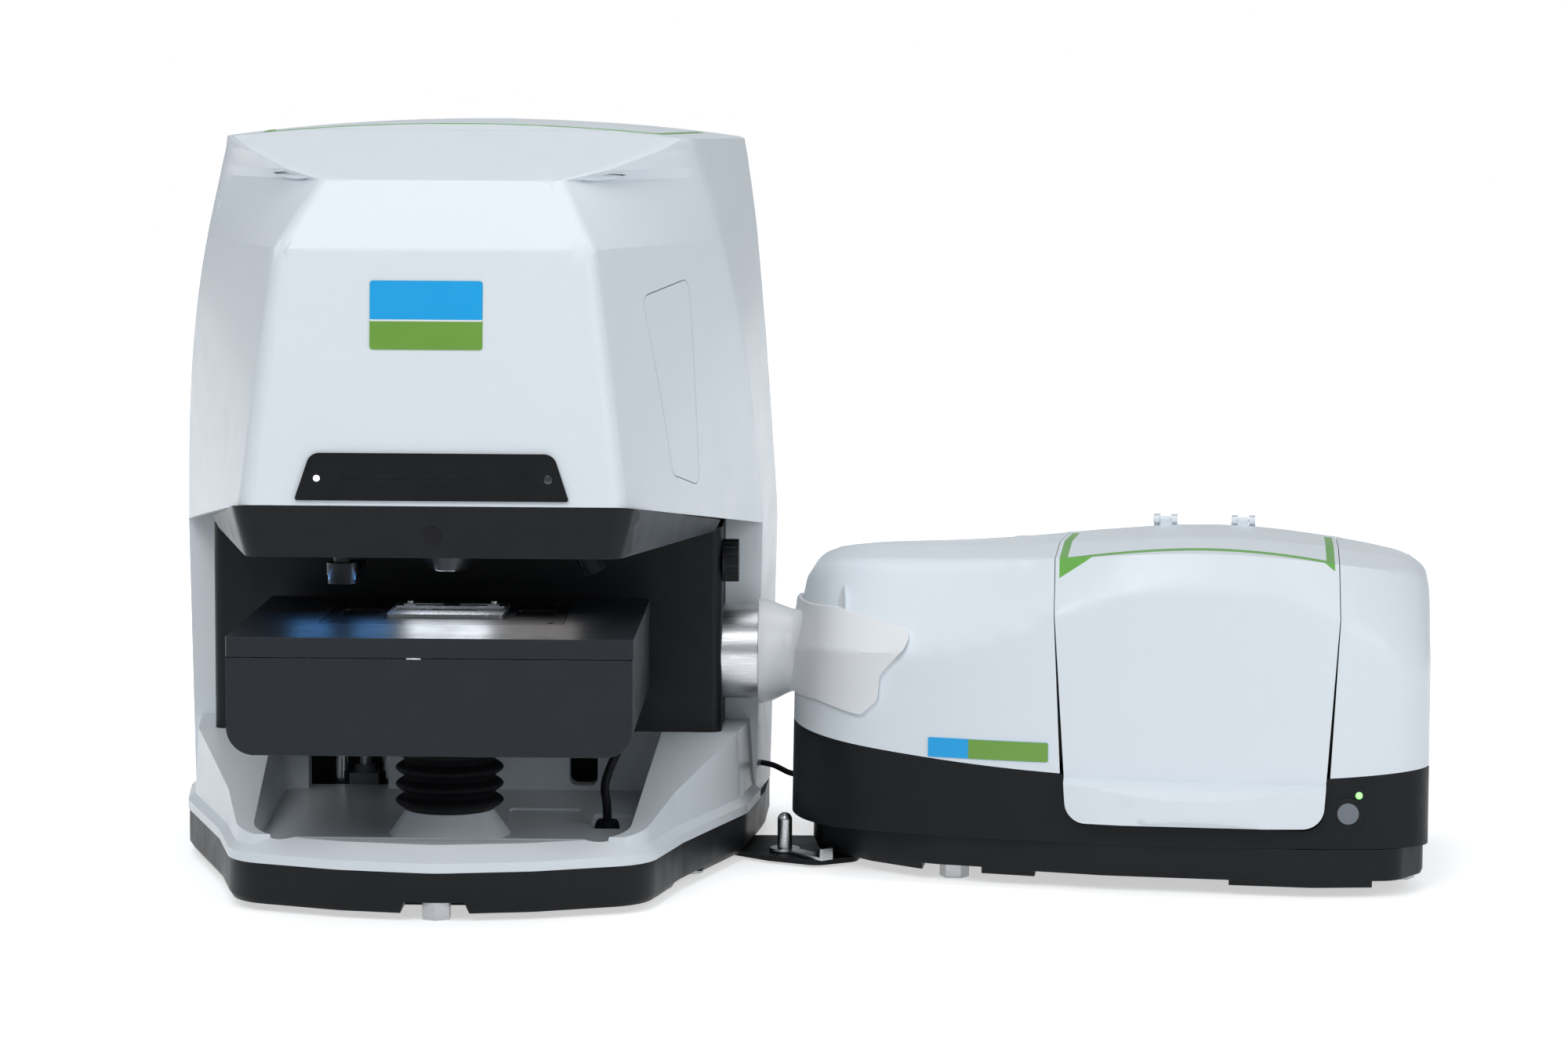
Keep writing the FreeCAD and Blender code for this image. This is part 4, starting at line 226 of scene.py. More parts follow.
def edge_mask(nodes, links, radius, vector):
    """Near 1 on convex and concave edges, broken up by a noise, near 0 on flats."""
    bevel = nodes.new("ShaderNodeBevel")
    bevel.samples = 4
    bevel.inputs["Radius"].default_value = radius
    geometry = nodes.new("ShaderNodeNewGeometry")
    dot = nodes.new("ShaderNodeVectorMath")
    dot.operation = "DOT_PRODUCT"
    links.new(bevel.outputs["Normal"], dot.inputs[0])
    links.new(geometry.outputs["Normal"], dot.inputs[1])
    edge = nodes.new("ShaderNodeMapRange")
    edge.inputs["From Min"].default_value = 0.995
    edge.inputs["From Max"].default_value = 0.90
    edge.inputs["To Min"].default_value = 0.0
    edge.inputs["To Max"].default_value = 1.0
    links.new(dot.outputs["Value"], edge.inputs["Value"])
    broken = spread(nodes, links, noise(nodes, links, vector, 180.0, 4.0), 0.0, 1.0)
    product = nodes.new("ShaderNodeMath")
    product.operation = "MULTIPLY"
    links.new(edge.outputs["Result"], product.inputs[0])
    links.new(broken, product.inputs[1])
    return product.outputs["Value"]


def add_bump(nodes, links, shader, height, strength, distance):
    bump = nodes.new("ShaderNodeBump")
    bump.inputs["Strength"].default_value = strength
    bump.inputs["Distance"].default_value = distance
    links.new(height, bump.inputs["Height"])
    links.new(bump.outputs["Normal"], shader.inputs["Normal"])


def moulded(name, colour, roughness, grain_scale, grain_depth, wear=None, coat=0.0, specular=0.5,
            tint=0.03):
    """Moulded or painted surface: fine grain, patchy sheen, faint shade changes and worn edges."""
    material, nodes, links, shader = new_material(name)
    vector = coordinates(nodes, links, (1, 1, 1))
    shader.inputs["Specular IOR Level"].default_value = specular
    shader.inputs["Coat Weight"].default_value = coat
    shader.inputs["Coat Roughness"].default_value = 0.12
    patches = noise(nodes, links, vector, 9.0, 2.0)
    deeper = tuple(c * (1 - tint) for c in colour)
    shade = mix_colours(nodes, links, spread(nodes, links, patches, 0.0, 1.0), colour, deeper)
    if wear:
        mask = edge_mask(nodes, links, 0.0009, vector)
        worn = nodes.new("ShaderNodeMix")
        worn.data_type = "RGBA"
        links.new(mask, worn.inputs["Factor"])
        links.new(shade, worn.inputs["A"])
        worn.inputs["B"].default_value = (*wear, 1)
        shade = worn.outputs["Result"]
    links.new(shade, shader.inputs["Base Color"])
    sheen = noise(nodes, links, vector, 45.0, 4.0)
    links.new(spread(nodes, links, sheen, roughness - 0.04, roughness + 0.05), shader.inputs["Roughness"])
    grain = noise(nodes, links, vector, grain_scale, 2.0)
    add_bump(nodes, links, shader, grain, 0.35, grain_depth)
    return material


def metal(name, colour, roughness, brush=(1, 1, 1), scale=300.0, depth=0.00002):
    """Bare metal with brushing along the axis whose stretch is smallest."""
    material, nodes, links, shader = new_material(name)
    shader.inputs["Metallic"].default_value = 1.0
    vector = coordinates(nodes, links, brush)
    lines = noise(nodes, links, vector, scale, 3.0)
    darker = tuple(c * 0.82 for c in colour)
    shade = mix_colours(nodes, links, spread(nodes, links, lines, 0.0, 1.0), colour, darker)
    links.new(shade, shader.inputs["Base Color"])
    links.new(spread(nodes, links, lines, roughness - 0.06, roughness + 0.08), shader.inputs["Roughness"])
    add_bump(nodes, links, shader, lines, 0.3, depth)
    return material


def glowing(name, colour, strength, base):
    """Lit lens of milky plastic, a little uneven behind its surface."""
    material, nodes, links, shader = new_material(name)
    vector = coordinates(nodes, links, (1, 1, 1))
    shader.inputs["Base Color"].default_value = (*base, 1)
    shader.inputs["Emission Color"].default_value = (*colour, 1)
    cloud = noise(nodes, links, vector, 320.0, 2.0)
    glow = spread(nodes, links, cloud, strength * 0.85, strength * 1.1)
    links.new(glow, shader.inputs["Emission Strength"])
    links.new(spread(nodes, links, cloud, 0.16, 0.26), shader.inputs["Roughness"])
    add_bump(nodes, links, shader, cloud, 0.2, 0.00001)
    return material


def window_glass(name):
    material, nodes, links, shader = new_material(name)
    shader.inputs["Base Color"].default_value = (0.92, 0.96, 1.0, 1)
    shader.inputs["Transmission Weight"].default_value = 0.9
    shader.inputs["IOR"].default_value = 1.5
    vector = coordinates(nodes, links, (1, 1, 1))
    haze = noise(nodes, links, vector, 60.0, 3.0)
    links.new(spread(nodes, links, haze, 0.03, 0.12), shader.inputs["Roughness"])
    return material


COVER_COLOUR = (0.80, 0.855, 0.90)
BLACK_SHEEN = 0.18

MATERIALS = {
    "white_cover": moulded("cover_paint", COVER_COLOUR, 0.36, 1400.0, 0.00004, coat=0.08, specular=0.45,
                           tint=0.012),
    "boot_white": moulded("boot_paint", (0.86, 0.88, 0.90), 0.34, 1100.0, 0.00003, coat=0.1, tint=0.012),
    "black_plastic": moulded("black_moulding", (0.0085, 0.010, 0.012), 0.42, 1500.0, 0.00006,
                             wear=(0.035, 0.038, 0.044), specular=BLACK_SHEEN),
    "panel_gloss": moulded("panel_gloss", (0.010, 0.011, 0.013), 0.22, 900.0, 0.00001, coat=0.12,
                           wear=(0.03, 0.032, 0.04), specular=BLACK_SHEEN),
    "stage_paint": moulded("stage_paint", (0.019, 0.023, 0.028), 0.44, 1300.0, 0.00007,
                           wear=(0.06, 0.065, 0.075), specular=BLACK_SHEEN),
    "green_trim": moulded("green_inlay", (0.16, 0.47, 0.075), 0.35, 1000.0, 0.00002, coat=0.2, tint=0.05),
    "bright_steel": metal("ground_steel", (0.62, 0.63, 0.65), 0.28, (1, 12, 12)),
    "chrome_rod": metal("chromed_rod", (0.72, 0.73, 0.75), 0.12, (60, 60, 1), 20.0),
    "aluminium": metal("brushed_aluminium", (0.72, 0.73, 0.75), 0.30, (1, 30, 30), 60.0),
    "cast_grey": moulded("cast_paint", (0.24, 0.26, 0.28), 0.5, 500.0, 0.00012, wear=(0.5, 0.5, 0.52)),
    "rubber_black": moulded("black_rubber", (0.008, 0.008, 0.010), 0.55, 800.0, 0.00005,
                            wear=(0.03, 0.03, 0.035), specular=BLACK_SHEEN),
    "lamp": moulded("smoked_lens", (0.03, 0.03, 0.035), 0.2, 600.0, 0.00001, coat=0.4),
    "window": window_glass("salt_window"),
    "board_green": moulded("solder_mask", (0.02, 0.12, 0.06), 0.35, 700.0, 0.00004, wear=(0.5, 0.4, 0.15)),
    "button_grey": moulded("button_cap", (0.17, 0.19, 0.215), 0.4, 900.0, 0.00003, tint=0.05),
    "foot_grey": metal("machined_foot", (0.60, 0.62, 0.64), 0.35, (1, 1, 10), 120.0),
}
EXTRA = {
    # Lighter grey for the visor's side faces: painted light standing in for the fill light on them, over
    # the same black plastic.
    "visor_cheek_painted_light": moulded("visor_cheek_painted_light", (0.050, 0.057, 0.064), 0.40, 1400.0, 0.00006,
                           wear=(0.11, 0.12, 0.13), specular=BLACK_SHEEN),
    "dark_casting": moulded("dark_casting", (0.022, 0.026, 0.032), 0.34, 700.0, 0.00005,
                            wear=(0.05, 0.08, 0.14), specular=BLACK_SHEEN),
    "insert_black": moulded("insert_black", (0.006, 0.007, 0.009), 0.38, 900.0, 0.00004,
                            wear=(0.05, 0.055, 0.06), specular=BLACK_SHEEN),
    "plate_blue": moulded("plate_blue", (0.0, 0.40, 0.86), 0.30, 900.0, 0.00001, coat=0.3, tint=0.03),
    "plate_green": moulded("plate_green", (0.165, 0.37, 0.045), 0.30, 900.0, 0.00001, coat=0.3, tint=0.03),
    "plate_white": moulded("plate_white", (0.85, 0.87, 0.89), 0.30, 900.0, 0.00001, coat=0.3, tint=0.01),
    "lamp_white": glowing("lamp_white", (0.93, 0.98, 1.0), 3.2, (0.8, 0.85, 0.9)),
    "lamp_green": glowing("lamp_green", (0.25, 1.0, 0.2), 1.6, (0.3, 0.7, 0.25)),
    "lens_white": glowing("lens_white", (0.85, 0.92, 1.0), 0.55, (0.7, 0.75, 0.8)),
    "socket_steel": metal("socket_steel", (0.50, 0.51, 0.53), 0.3, (1, 1, 1), 260.0),
}
NODE_FINISH = {"atr_arm": "dark_casting", "stage_insert": "insert_black"}
SKINNED = {"front_cover": "instrument", "rear_cover": "instrument", "access_door": "door",
           "spec_cover": "instrument", "spec_lid": "sample_lid"}


def dress_frame():
    """Gives each CAD node its slot's finish, soft edges and smooth curved faces."""
    for row in frame["record"]["subparts"]:
        node = frame["nodes"][row["node"]]
        finish = NODE_FINISH.get(row["node"])
        node.data.materials.clear()
        node.data.materials.append(EXTRA[finish] if finish else MATERIALS[row["material_slot"]])
        for face in node.data.polygons:
            face.material_index = 0
            face.use_smooth = True
        if row["node"] in SKINNED:
            continue
        weld = node.modifiers.new("weld", "WELD")
        weld.merge_threshold = EDGE_WELD
        bevel = node.modifiers.new("bevel", "BEVEL")
        bevel.limit_method = "ANGLE"
        bevel.angle_limit = math.radians(EDGE_ANGLE)
        bevel.width = EDGE_WIDTH
        bevel.segments = 2
        bevel.harden_normals = False
        normals = node.modifiers.new("normals", "WEIGHTED_NORMAL")
        normals.keep_sharp = True


def dress_visor():
    """The visor's sloping cheeks get a lighter grey than its front: painted light for the side light
    falling on them.
    """
    visor = frame["nodes"]["visor"]
    visor.data.materials.append(EXTRA["visor_cheek_painted_light"])
    for face in visor.data.polygons:
        # Faces turned to either side get the lighter grey of painted light.
        if abs(face.normal.x) > 0.55 and face.center.y > 0.0:
            face.material_index = 1


# Mesh helpers

def add_piece(name, verts, faces, materials, body, indices=None):
    """A mesh piece with outward faces that rides on a body, smooth except over sharp edges."""
    mesh = bpy.data.meshes.new(name)
    mesh.from_pydata([tuple(v) for v in verts], [], faces)
    for material in materials:
        mesh.materials.append(material)
    if indices:
        mesh.polygons.foreach_set("material_index", indices)
    form = bmesh.new()
    form.from_mesh(mesh)
    bmesh.ops.recalc_face_normals(form, faces=form.faces)
    shade_edges(form, PIECE_SHARP)
    form.to_mesh(mesh)
    form.free()
    piece = bpy.data.objects.new(name, mesh)
    scene.collection.objects.link(piece)
    if body:
        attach(piece, body)
    return piece


def shade_edges(form, degrees):
    """Smooth shading, with sharp edges over an angle."""
    limit = math.radians(degrees)
    for face in form.faces:
        face.smooth = True
    for edge in form.edges:
        edge.smooth = len(edge.link_faces) == 2 and edge.calc_face_angle(0.0) < limit


def axes_round(axis):
    """An axis and two directions square to it."""
    axis = Vector(axis).normalized()
    side = axis.orthogonal().normalized()
    return axis, side, axis.cross(side)


def lathe_shape(profile, place, axis, steps):
    """Vertices and faces of a profile of (radius, height) pairs turned round an axis."""
    axis, side, other = axes_round(axis)
    place = Vector(place)
    verts, rings = [], []
    for radius, height in profile:
        if radius < 1e-7:
            rings.append([len(verts)] * steps)
            verts.append(place + axis * height)
            continue
        first = len(verts)
        centre = place + axis * height
        for i in range(steps):
            angle = 2 * math.pi * i / steps
            verts.append(centre + (side * math.cos(angle) + other * math.sin(angle)) * radius)
        rings.append(list(range(first, first + steps)))
    faces = []
    for low, high in zip(rings, rings[1:]):
        for i in range(steps):
            j = (i + 1) % steps
            corners = [low[i], low[j], high[j], high[i]]
            faces.append(tuple(dict.fromkeys(corners)))
    return verts, [f for f in faces if len(f) > 2]


def join_shapes(shapes):
    """Several shapes as one list of vertices and faces, with each one's number of faces."""
    verts, faces, counts = [], [], []
    for more_verts, more_faces in shapes:
        shift = len(verts)
        verts += more_verts
        faces += [tuple(i + shift for i in face) for face in more_faces]
        counts.append(len(more_faces))
    return verts, faces, counts


def spec_point(x, y, z):
    """Point of the spectrometer's own axes, set down where it stands."""
    return spec_direction(x, y, z) + SPEC_PLACE


def spec_direction(x, y, z):
    """Direction of the spectrometer's own axes, as it stands."""
    return Matrix.Rotation(SPEC_TURN, 3, "Z") @ Vector((x, y, z))


def surface_tree(node_name):
    """A node's own surface, for rays cast at it."""
    mesh = frame["nodes"][node_name].data
    verts = [v.co.copy() for v in mesh.vertices]
    return BVHTree.FromPolygons(verts, [tuple(p.vertices) for p in mesh.polygons])


# Moulded skins

def triangle_normals(places, corners):
    first = places[corners[:, 1]] - places[corners[:, 0]]
    second = places[corners[:, 2]] - places[corners[:, 0]]
    normals = np.cross(first, second)
    return normals / np.maximum(np.linalg.norm(normals, axis=1), 1e-14)[:, None]


def refine(form):
    """Halves the long edges until none is longer than the skin's mesh size."""
    for _ in range(SKIN_PASSES):
        long_edges = [e for e in form.edges if e.calc_length() > SKIN_EDGE]
        if not long_edges:
            break
        bmesh.ops.subdivide_edges(form, edges=long_edges, cuts=1, use_grid_fill=True)
        wide = [f for f in form.faces if len(f.verts) > 3]
        bmesh.ops.triangulate(form, faces=wide)
    form.verts.index_update()


def free_share(form):
    """1 for each vertex that may move, 0 on borders and on edges that stay crisp."""
    free = np.ones(len(form.verts))
    for edge in form.edges:
        if len(edge.link_faces) != 2 or edge.calc_face_angle(0.0) > math.radians(PIN_ANGLE):
            free[edge.verts[0].index] = 0.0
            free[edge.verts[1].index] = 0.0
    return free


def blend_facets(form):
    """Moves each free vertex towards its neighbours, and back where a face would turn over."""
    free = free_share(form)
    places = np.array([v.co for v in form.verts])
    start = places.copy()
    corners = np.array([[v.index for v in f.verts[:3]] for f in form.faces])
    pairs = np.array([(e.verts[0].index, e.verts[1].index) for e in form.edges])
    counts = np.bincount(pairs.ravel(), minlength=len(places)).astype(float)
    counts[counts == 0] = 1.0
    for _ in range(SKIN_ROUNDS):
        total = np.zeros_like(places)
        np.add.at(total, pairs[:, 0], places[pairs[:, 1]])
        np.add.at(total, pairs[:, 1], places[pairs[:, 0]])
        places += SKIN_STEP * free[:, None] * (total / counts[:, None] - places)
    before = triangle_normals(start, corners)
    for _ in range(SKIN_RESETS):
        turned = (before * triangle_normals(places, corners)).sum(axis=1) < SKIN_TURN
        if not turned.any():
            break
        stuck = np.unique(corners[turned])
        places[stuck] = start[stuck]
    for vert, place in zip(form.verts, places):
        vert.co = place


def soft_skin(node_name, body):
    """A moulded cover's own form with its facet edges blended and its cut borders left crisp."""
    form = bmesh.new()
    form.from_mesh(frame["nodes"][node_name].data)
    bmesh.ops.remove_doubles(form, verts=form.verts, dist=SKIN_WELD)
    refine(form)
    blend_facets(form)
    shade_edges(form, SKIN_SHARP)
    for face in form.faces:
        face.material_index = 0
    mesh = bpy.data.meshes.new(node_name + "_skin")
    form.to_mesh(mesh)
    form.free()
    mesh.materials.clear()
    mesh.materials.append(MATERIALS["white_cover"])
    piece = bpy.data.objects.new(node_name + "_skin", mesh)
    scene.collection.objects.link(piece)
    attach(piece, body)
    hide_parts(node_name)


def make_skins():
    for node_name, body in SKINNED.items():
        soft_skin(node_name, body)


def crease_bead(side):
    """Slim bead of cover plastic over the slit at one end of the upper crease, thin at both ends."""
    mirror = Vector((side, 1, 1))
    begin, finish = CREASE_START * mirror, CREASE_END * mirror
    profile = [(0.0, 0.0)]
    length = (finish - begin).length
    for i in range(1, CREASE_STEPS):
        share = i / CREASE_STEPS
        profile.append((CREASE_BEAD * math.sin(math.pi * share) ** 0.5, length * share))
    profile.append((0.0, length))
    return lathe_shape(profile, begin, finish - begin, 20)


def make_crease_beads():
    verts, faces, _ = join_shapes([crease_bead(1), crease_bead(-1)])
    add_piece("crease_beads", verts, faces, [MATERIALS["white_cover"]], "instrument")


# Lamps and lenses

def lens_shape(radius, rise, sink, place, axis):
    """Domed lens with a short skirt that sits in its hole."""
    profile = [(0.0, -sink), (radius, -sink), (radius, -0.0002)]
    for i in range(1, 7):
        angle = math.pi / 2 * i / 6
        profile.append((radius * math.cos(angle), rise * math.sin(angle)))
    profile[-1] = (0.0, rise)
    return lathe_shape(profile, place, axis, 32)


def make_indicator_lenses():
    """Lit and dark lens on the status panel, and the green one beside the power button."""
    lean = math.atan(PANEL_SLOPE)
    out = Vector((0, -math.cos(lean), math.sin(lean)))
    face_y = PANEL_FOOT_Y + PANEL_SLOPE * (LAMP_Z - PANEL_FOOT_Z)
    shapes = [lens_shape(0.0021, 0.0006, 0.0014, (LIT_LAMP_X, face_y, LAMP_Z), out),
              lens_shape(0.0030, 0.0003, 0.0014, (DARK_LAMP_X, face_y, LAMP_Z), out)]
    start, along = spec_point(POWER_LAMP_X, -0.1, POWER_LAMP_Z), spec_direction(0, 1, 0)
    hit = surface_tree("indicator_lamps").ray_cast(start, along)[0]
    shapes.append(lens_shape(0.0025, 0.0006, 0.0012, hit, -along))
    verts, faces, counts = join_shapes(shapes)
    indices = [0] * counts[0] + [1] * counts[1] + [2] * counts[2]
    finishes = [EXTRA["lamp_white"], MATERIALS["lamp"], EXTRA["lamp_green"]]
    lenses = add_piece("indicator_lenses", verts, faces, finishes, "instrument", indices)
    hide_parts("indicator_lamps")


def make_nozzle_lens():
    mouth = NOZZLE_MOUTH + NOZZLE_DIRECTION * NOZZLE_RECESS
    verts, faces = lens_shape(0.0058, 0.0012, 0.0012, mouth, -NOZZLE_DIRECTION)
    add_piece("nozzle_lens", verts, faces, [EXTRA["lens_white"]], "instrument")


# Bare plates

def plate_columns(width, corner, count):
    """Places across a plate, closer together in its rounded ends."""
    ends = [corner * (1 - math.cos(math.pi / 2 * i / 5)) for i in range(6)]
    middle = [corner + (width - 2 * corner) * i / count for i in range(1, count)]
    return ends + middle + [width - e for e in reversed(ends)]


def bare_plate(name, node_name, point, direction, size, corner, rows, materials, across):
    """Thin blank plate that lies on a cover, with rounded corners and bands of colour."""
    tree = surface_tree(node_name)
    width, height = size
    columns = plate_columns(width, corner, 12)
    verts, faces, indices = [], [], []
    for column in columns:
        inward = min(column, width - column)
        short = 0.0
        if inward < corner:
            short = corner - math.sqrt(max(corner ** 2 - (corner - inward) ** 2, 0.0))
        for row in rows:
            level = short + (height - 2 * short) * row
            hit = tree.ray_cast(point(column, level), direction)[0]
            verts.append(hit - direction * PLATE_PROUD)
            verts.append(hit + direction * PLATE_SUNK)
    count = len(rows)
    for i in range(len(columns) - 1):
        for j in range(count - 1):
            a = 2 * (i * count + j)
            b, c, d = a + 2, a + 2 * count + 2, a + 2 * count
            faces.append((a, b, c, d))
            faces.append((a + 1, d + 1, c + 1, b + 1))
            index = across(columns[i], columns[i + 1]) if across else j
            indices += [index, index]
    border = [2 * j for j in range(count)]
    border += [2 * (i * count + count - 1) for i in range(1, len(columns))]
    border += [2 * ((len(columns) - 1) * count + j) for j in range(count - 2, -1, -1)]
    border += [2 * (i * count) for i in range(len(columns) - 2, 0, -1)]
    for a, b in zip(border, border[1:] + border[:1]):
        faces.append((a, a + 1, b + 1, b))
        indices.append(indices[0])
    add_piece(name, verts, faces, materials, "instrument", indices)


def make_plates():
    """Blue over green on the hood, blue beside green on the spectrometer."""
    materials = [EXTRA["plate_green"], EXTRA["plate_white"], EXTRA["plate_blue"]]

    def hood_point(across, level):
        return Vector((HOOD_PLATE_X + across, -0.2, HOOD_PLATE_Z + level))

    def spec_plate_point(across, level):
        return spec_point(SPEC_PLATE_X + across, -0.1, SPEC_PLATE_Z + level)

    def shade(low, high):
        return 2 if (low + high) / 2 < SPEC_PLATE_BLUE else 0

    bare_plate("hood_plate", "front_cover", hood_point, Vector((0, 1, 0)), HOOD_PLATE_SIZE,
               HOOD_PLATE_CORNER, [0.0, 0.41, 0.435, 1.0], materials, None)
    bare_plate("spec_plate", "spec_cover", spec_plate_point, spec_direction(0, 1, 0), SPEC_PLATE_SIZE,
               SPEC_PLATE_CORNER, [0.0, 0.5, 1.0], materials, shade)


# Bellows, stage cable and stage details

def make_bellows():
    """Rubber sleeve whose rounded folds stretch between the pedestal and the belly."""
    steps = BELLOWS_FOLDS * BELLOWS_STEPS
    outer = []
    for i in range(steps + 1):
        share = i / steps
        wave = (0.5 - 0.5 * math.cos(2 * math.pi * BELLOWS_FOLDS * share)) ** 0.8
        level = BELLOWS_LOW + (BELLOWS_HIGH - BELLOWS_LOW) * share
        outer.append((BELLOWS_NECK + BELLOWS_FOLD * wave, level))
    inner = [(r - BELLOWS_WALL, z) for r, z in reversed(outer)]
    verts, faces = lathe_shape(outer + inner + outer[:1], (0, BELLOWS_Y, 0), (0, 0, 1), 64)
    sleeve = add_piece("bellows_sleeve", verts, faces, [MATERIALS["rubber_black"]], None)
    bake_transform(sleeve)
    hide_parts("bellows")


def tube_shape(points, radius, sides):
    """Round tube along points, with closed ends and no twist."""
    points = [Vector(p) for p in points]
    ahead = (points[1] - points[0]).normalized()
    side = ahead.orthogonal().normalized()
    verts = []
    for i, point in enumerate(points):
        near = points[min(i + 1, len(points) - 1)] - points[max(i - 1, 0)]
        direction = near.normalized()
        side = (side - direction * side.dot(direction)).normalized()
        other = direction.cross(side)
        for k in range(sides):
            angle = 2 * math.pi * k / sides
            verts.append(point + (side * math.cos(angle) + other * math.sin(angle)) * radius)
    faces = []
    for i in range(len(points) - 1):
        for k in range(sides):
            a, b = i * sides + k, i * sides + (k + 1) % sides
            faces.append((a, b, b + sides, a + sides))
    faces.append(tuple(reversed(range(sides))))
    faces.append(tuple(range(len(verts) - sides, len(verts))))
    return verts, faces


def block_shape(low, high):
    """Block between two opposite corners."""
    (x0, y0, z0), (x1, y1, z1) = low, high
    verts = [Vector((x, y, z)) for y in (y0, y1) for x, z in ((x0, z0), (x1, z0), (x1, z1), (x0, z1))]
    return verts, [(0, 1, 2, 3), (7, 6, 5, 4), (0, 4, 5, 1), (1, 5, 6, 2), (2, 6, 7, 3), (3, 7, 4, 0)]


def make_stage_parts():
    """Blank that closes the belly's notch, and the bright catch on the seam beside it."""
    face = STAGE_FACE_Y
    blank = block_shape((-0.0271, face + 0.0002, 0.1830), (-0.0169, face + 0.0016, 0.1876))
    catch = block_shape((-0.0155, face - 0.0001, 0.1874), (-0.0055, face + 0.0010, 0.1886))
    verts, faces, counts = join_shapes([blank, catch])
    finishes = [MATERIALS["stage_paint"], EXTRA["socket_steel"]]
    indices = [0] * counts[0] + [1] * counts[1]
    piece = add_piece("stage_catch", verts, faces, finishes, "stage_lift", indices)
    bevel = piece.modifiers.new("round", "BEVEL")
    bevel.width, bevel.segments, bevel.limit_method = 0.0003, 2, "NONE"


def screw_shape(radius, height, place, axis):
    """Cap screw with a rounded rim and a socket."""
    socket = radius * 0.52
    profile = [(0.0, -0.0004), (radius, -0.0004), (radius, height - 0.0003),
               (radius - 0.0002, height - 0.0001), (radius - 0.0004, height), (socket, height),
               (socket, height * 0.35), (0.0, height * 0.3)]
    return lathe_shape(profile, place, axis, 24)


def make_screws():
    """Screws at the insert's corners and on the rear cover's flat back."""
    shapes = [screw_shape(0.0024, 0.0014, (x, y, INSERT_TOP_Z), (0, 0, 1))
              for x in (-INSERT_SCREW_X, INSERT_SCREW_X) for y in INSERT_SCREW_Y]
    verts, faces, _ = join_shapes(shapes)
    add_piece("insert_screws", verts, faces, [EXTRA["socket_steel"]], "stage_x")
    tree = surface_tree("rear_cover")
    shapes = []
    for x in REAR_SCREW_X:
        for z in REAR_SCREW_Z:
            hit, normal = tree.ray_cast(Vector((x, 0.7, z)), Vector((0, -1, 0)))[:2]
            if hit and hit.y > REAR_SKIN_Y:
                out = normal if normal.y > 0 else -normal
                shapes.append(screw_shape(0.0038, 0.0016, hit - out * REAR_SCREW_SINK, out))
    verts, faces, _ = join_shapes(shapes)
    add_piece("rear_screws", verts, faces, [EXTRA["socket_steel"]], "instrument")


# Cords

def route_curve(name, route, diameter, material):
    """One smooth spline whose control points are the route's."""
    data = bpy.data.curves.new(name, "CURVE")
    data.dimensions = "3D"
    spline = data.splines.new("NURBS")
    spline.points.add(len(route) - 1)
    for point, place in zip(spline.points, route):
        point.co = (*place, 1)
    spline.order_u = 3
    spline.use_endpoint_u = True
    spline.resolution_u = 10
    data.bevel_depth = diameter / 2
    data.bevel_resolution = 6
    data.use_fill_caps = True
    piece = bpy.data.objects.new(name, data)
    piece.data.materials.append(material)
    scene.collection.objects.link(piece)
    return piece


def spline_line(piece):
    """Points and length of a curve's own line, read with no thickness."""
    piece.data.bevel_depth = 0
    bare = bpy.data.meshes.new_from_object(piece.evaluated_get(bpy.context.evaluated_depsgraph_get()))
    places = [v.co.copy() for v in bare.vertices]
    bpy.data.meshes.remove(bare)
    return places, sum((b - a).length for a, b in zip(places, places[1:]))


def make_stage_cord():
    """Tube that follows the route's own spline."""
    rubber = MATERIALS["rubber_black"]
    guide = route_curve("stage_cord_line", STAGE_CABLE_ROUTE, STAGE_CABLE_DIAMETER, rubber)
    points, length = spline_line(guide)
    bpy.data.objects.remove(guide)
    verts, faces = tube_shape(points, STAGE_CABLE_DIAMETER / 2, CORD_SIDES)
    cord = add_piece("stage_cord", verts, faces, [rubber], None)
    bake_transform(cord)
    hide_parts("stage_cable")


def make_cords():
    rubber = MATERIALS["rubber_black"]
    make_stage_cord()
    link = route_curve("link_cord", LINK_CABLE_ROUTE, LINK_CABLE_DIAMETER, rubber)
    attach(link, "instrument")
    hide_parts("link_cable")


# Floor, world and lamps

def seen_directly(nodes, links):
    """1 for rays from the camera and for reflections and refractions of the backdrop, else 0."""
    path = nodes.new("ShaderNodeLightPath")
    first = nodes.new("ShaderNodeMath")
    first.operation = "MAXIMUM"
    links.new(path.outputs["Is Camera Ray"], first.inputs[0])
    links.new(path.outputs["Is Glossy Ray"], first.inputs[1])
    second = nodes.new("ShaderNodeMath")
    second.operation = "MAXIMUM"
    links.new(first.outputs["Value"], second.inputs[0])
    links.new(path.outputs["Is Transmission Ray"], second.inputs[1])
    return second.outputs["Value"]


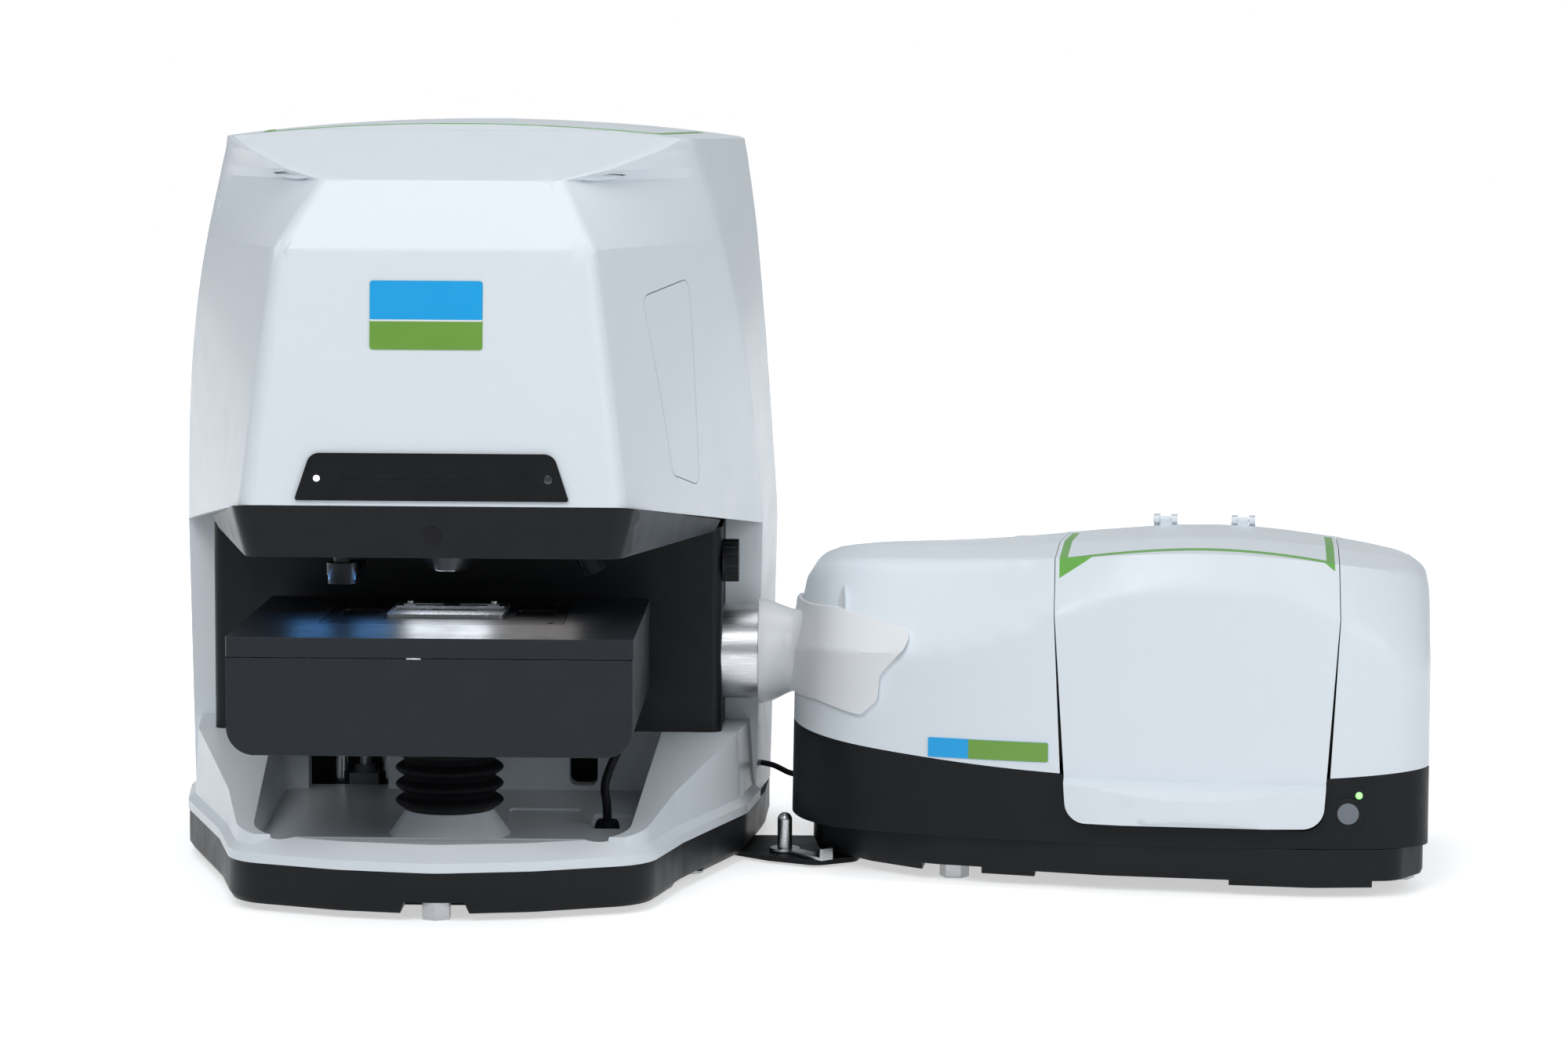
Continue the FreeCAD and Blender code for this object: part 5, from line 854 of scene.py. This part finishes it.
def make_floor():
    """Pale floor that keeps the shadow near the object and turns white further away."""
    size = FLOOR_SIZE
    mesh = bpy.data.meshes.new("floor")
    mesh.from_pydata([(-size, -size, 0), (size, -size, 0), (size, size, 0), (-size, size, 0)], [],
                     [(0, 1, 2, 3)])
    floor = bpy.data.objects.new("floor", mesh)
    scene.collection.objects.link(floor)
    material, nodes, links, shader = new_material("floor_paper")
    shader.inputs["Base Color"].default_value = (0.93, 0.94, 0.95, 1)
    shader.inputs["Roughness"].default_value = 0.9
    shader.inputs["Specular IOR Level"].default_value = 0.2
    position = nodes.new("ShaderNodeNewGeometry")
    away = nodes.new("ShaderNodeVectorMath")
    away.operation = "DISTANCE"
    away.inputs[1].default_value = (0.25, 0.2, 0.0)
    links.new(position.outputs["Position"], away.inputs[0])
    share = nodes.new("ShaderNodeMapRange")
    share.inputs["From Min"].default_value = GLOW_NEAR
    share.inputs["From Max"].default_value = GLOW_FAR
    share.inputs["To Min"].default_value = FLOOR_GLOW
    share.inputs["To Max"].default_value = 1.0
    links.new(away.outputs["Value"], share.inputs["Value"])
    lit = nodes.new("ShaderNodeMath")
    lit.operation = "MULTIPLY"
    links.new(share.outputs["Result"], lit.inputs[0])
    links.new(seen_directly(nodes, links), lit.inputs[1])
    shader.inputs["Emission Color"].default_value = (1, 1, 1, 1)
    links.new(lit.outputs["Value"], shader.inputs["Emission Strength"])
    mesh.materials.append(material)


def make_world():
    """Soft surrounding light, with plain white where the camera looks past the floor."""
    world = bpy.data.worlds.new("studio")
    scene.world = world
    world.use_nodes = True
    nodes, links = world.node_tree.nodes, world.node_tree.links
    background = nodes["Background"]
    background.inputs["Color"].default_value = (0.90, 0.95, 1.0, 1)
    background.inputs["Strength"].default_value = WORLD_LEVEL
    white = nodes.new("ShaderNodeBackground")
    white.inputs["Color"].default_value = (1, 1, 1, 1)
    white.inputs["Strength"].default_value = 1.0
    path = nodes.new("ShaderNodeLightPath")
    blend = nodes.new("ShaderNodeMixShader")
    links.new(path.outputs["Is Camera Ray"], blend.inputs["Fac"])
    links.new(background.outputs["Background"], blend.inputs[1])
    links.new(white.outputs["Background"], blend.inputs[2])
    links.new(blend.outputs["Shader"], nodes["World Output"].inputs["Surface"])


def area_lamp(name, place, target, size, power, colour=(1, 1, 1)):
    data = bpy.data.lights.new(name, "AREA")
    data.shape = "RECTANGLE"
    data.size, data.size_y = size
    data.energy = power
    data.color = colour
    lamp = bpy.data.objects.new(name, data)
    lamp.location = place
    lamp.rotation_mode = "QUATERNION"
    lamp.rotation_quaternion = (Vector(target) - Vector(place)).to_track_quat("-Z", "Y")
    scene.collection.objects.link(lamp)


def make_lamps():
    """Three studio softboxes and the glow under the visor, blue on the left and warm on the right."""
    middle = (0.25, 0.15, 0.25)
    area_lamp("key_softbox", (-0.6, -2.2, 2.3), middle, (1.6, 1.6), 34)
    area_lamp("fill_softbox", (2.0, -1.6, 1.3), middle, (1.4, 1.8), 14)
    area_lamp("top_softbox", (0.2, 0.5, 2.4), (0.2, 0.2, 0.3), (2.2, 1.4), 16)
    area_lamp("stage_light", (0.0, 0.086, 0.2310), (-0.004, 0.055, 0.2), (0.060, 0.010), 0.07,
              (0.88, 0.94, 1.0))
    area_lamp("stage_light_blue", (-0.075, 0.086, 0.2310), (-0.070, 0.030, 0.2), (0.070, 0.012), 0.020,
              (0.12, 0.42, 1.0))
    area_lamp("stage_light_warm", (0.062, 0.086, 0.2310), (0.060, 0.035, 0.2), (0.060, 0.012), 0.012,
              (0.95, 0.90, 0.88))


make_camera()
dress_frame()
dress_visor()
make_cords()
make_skins()
make_crease_beads()
make_indicator_lenses()
make_nozzle_lens()
make_plates()
make_bellows()
make_stage_parts()
make_screws()
make_floor()
make_world()
make_lamps()
scene.view_settings.view_transform = "Standard"
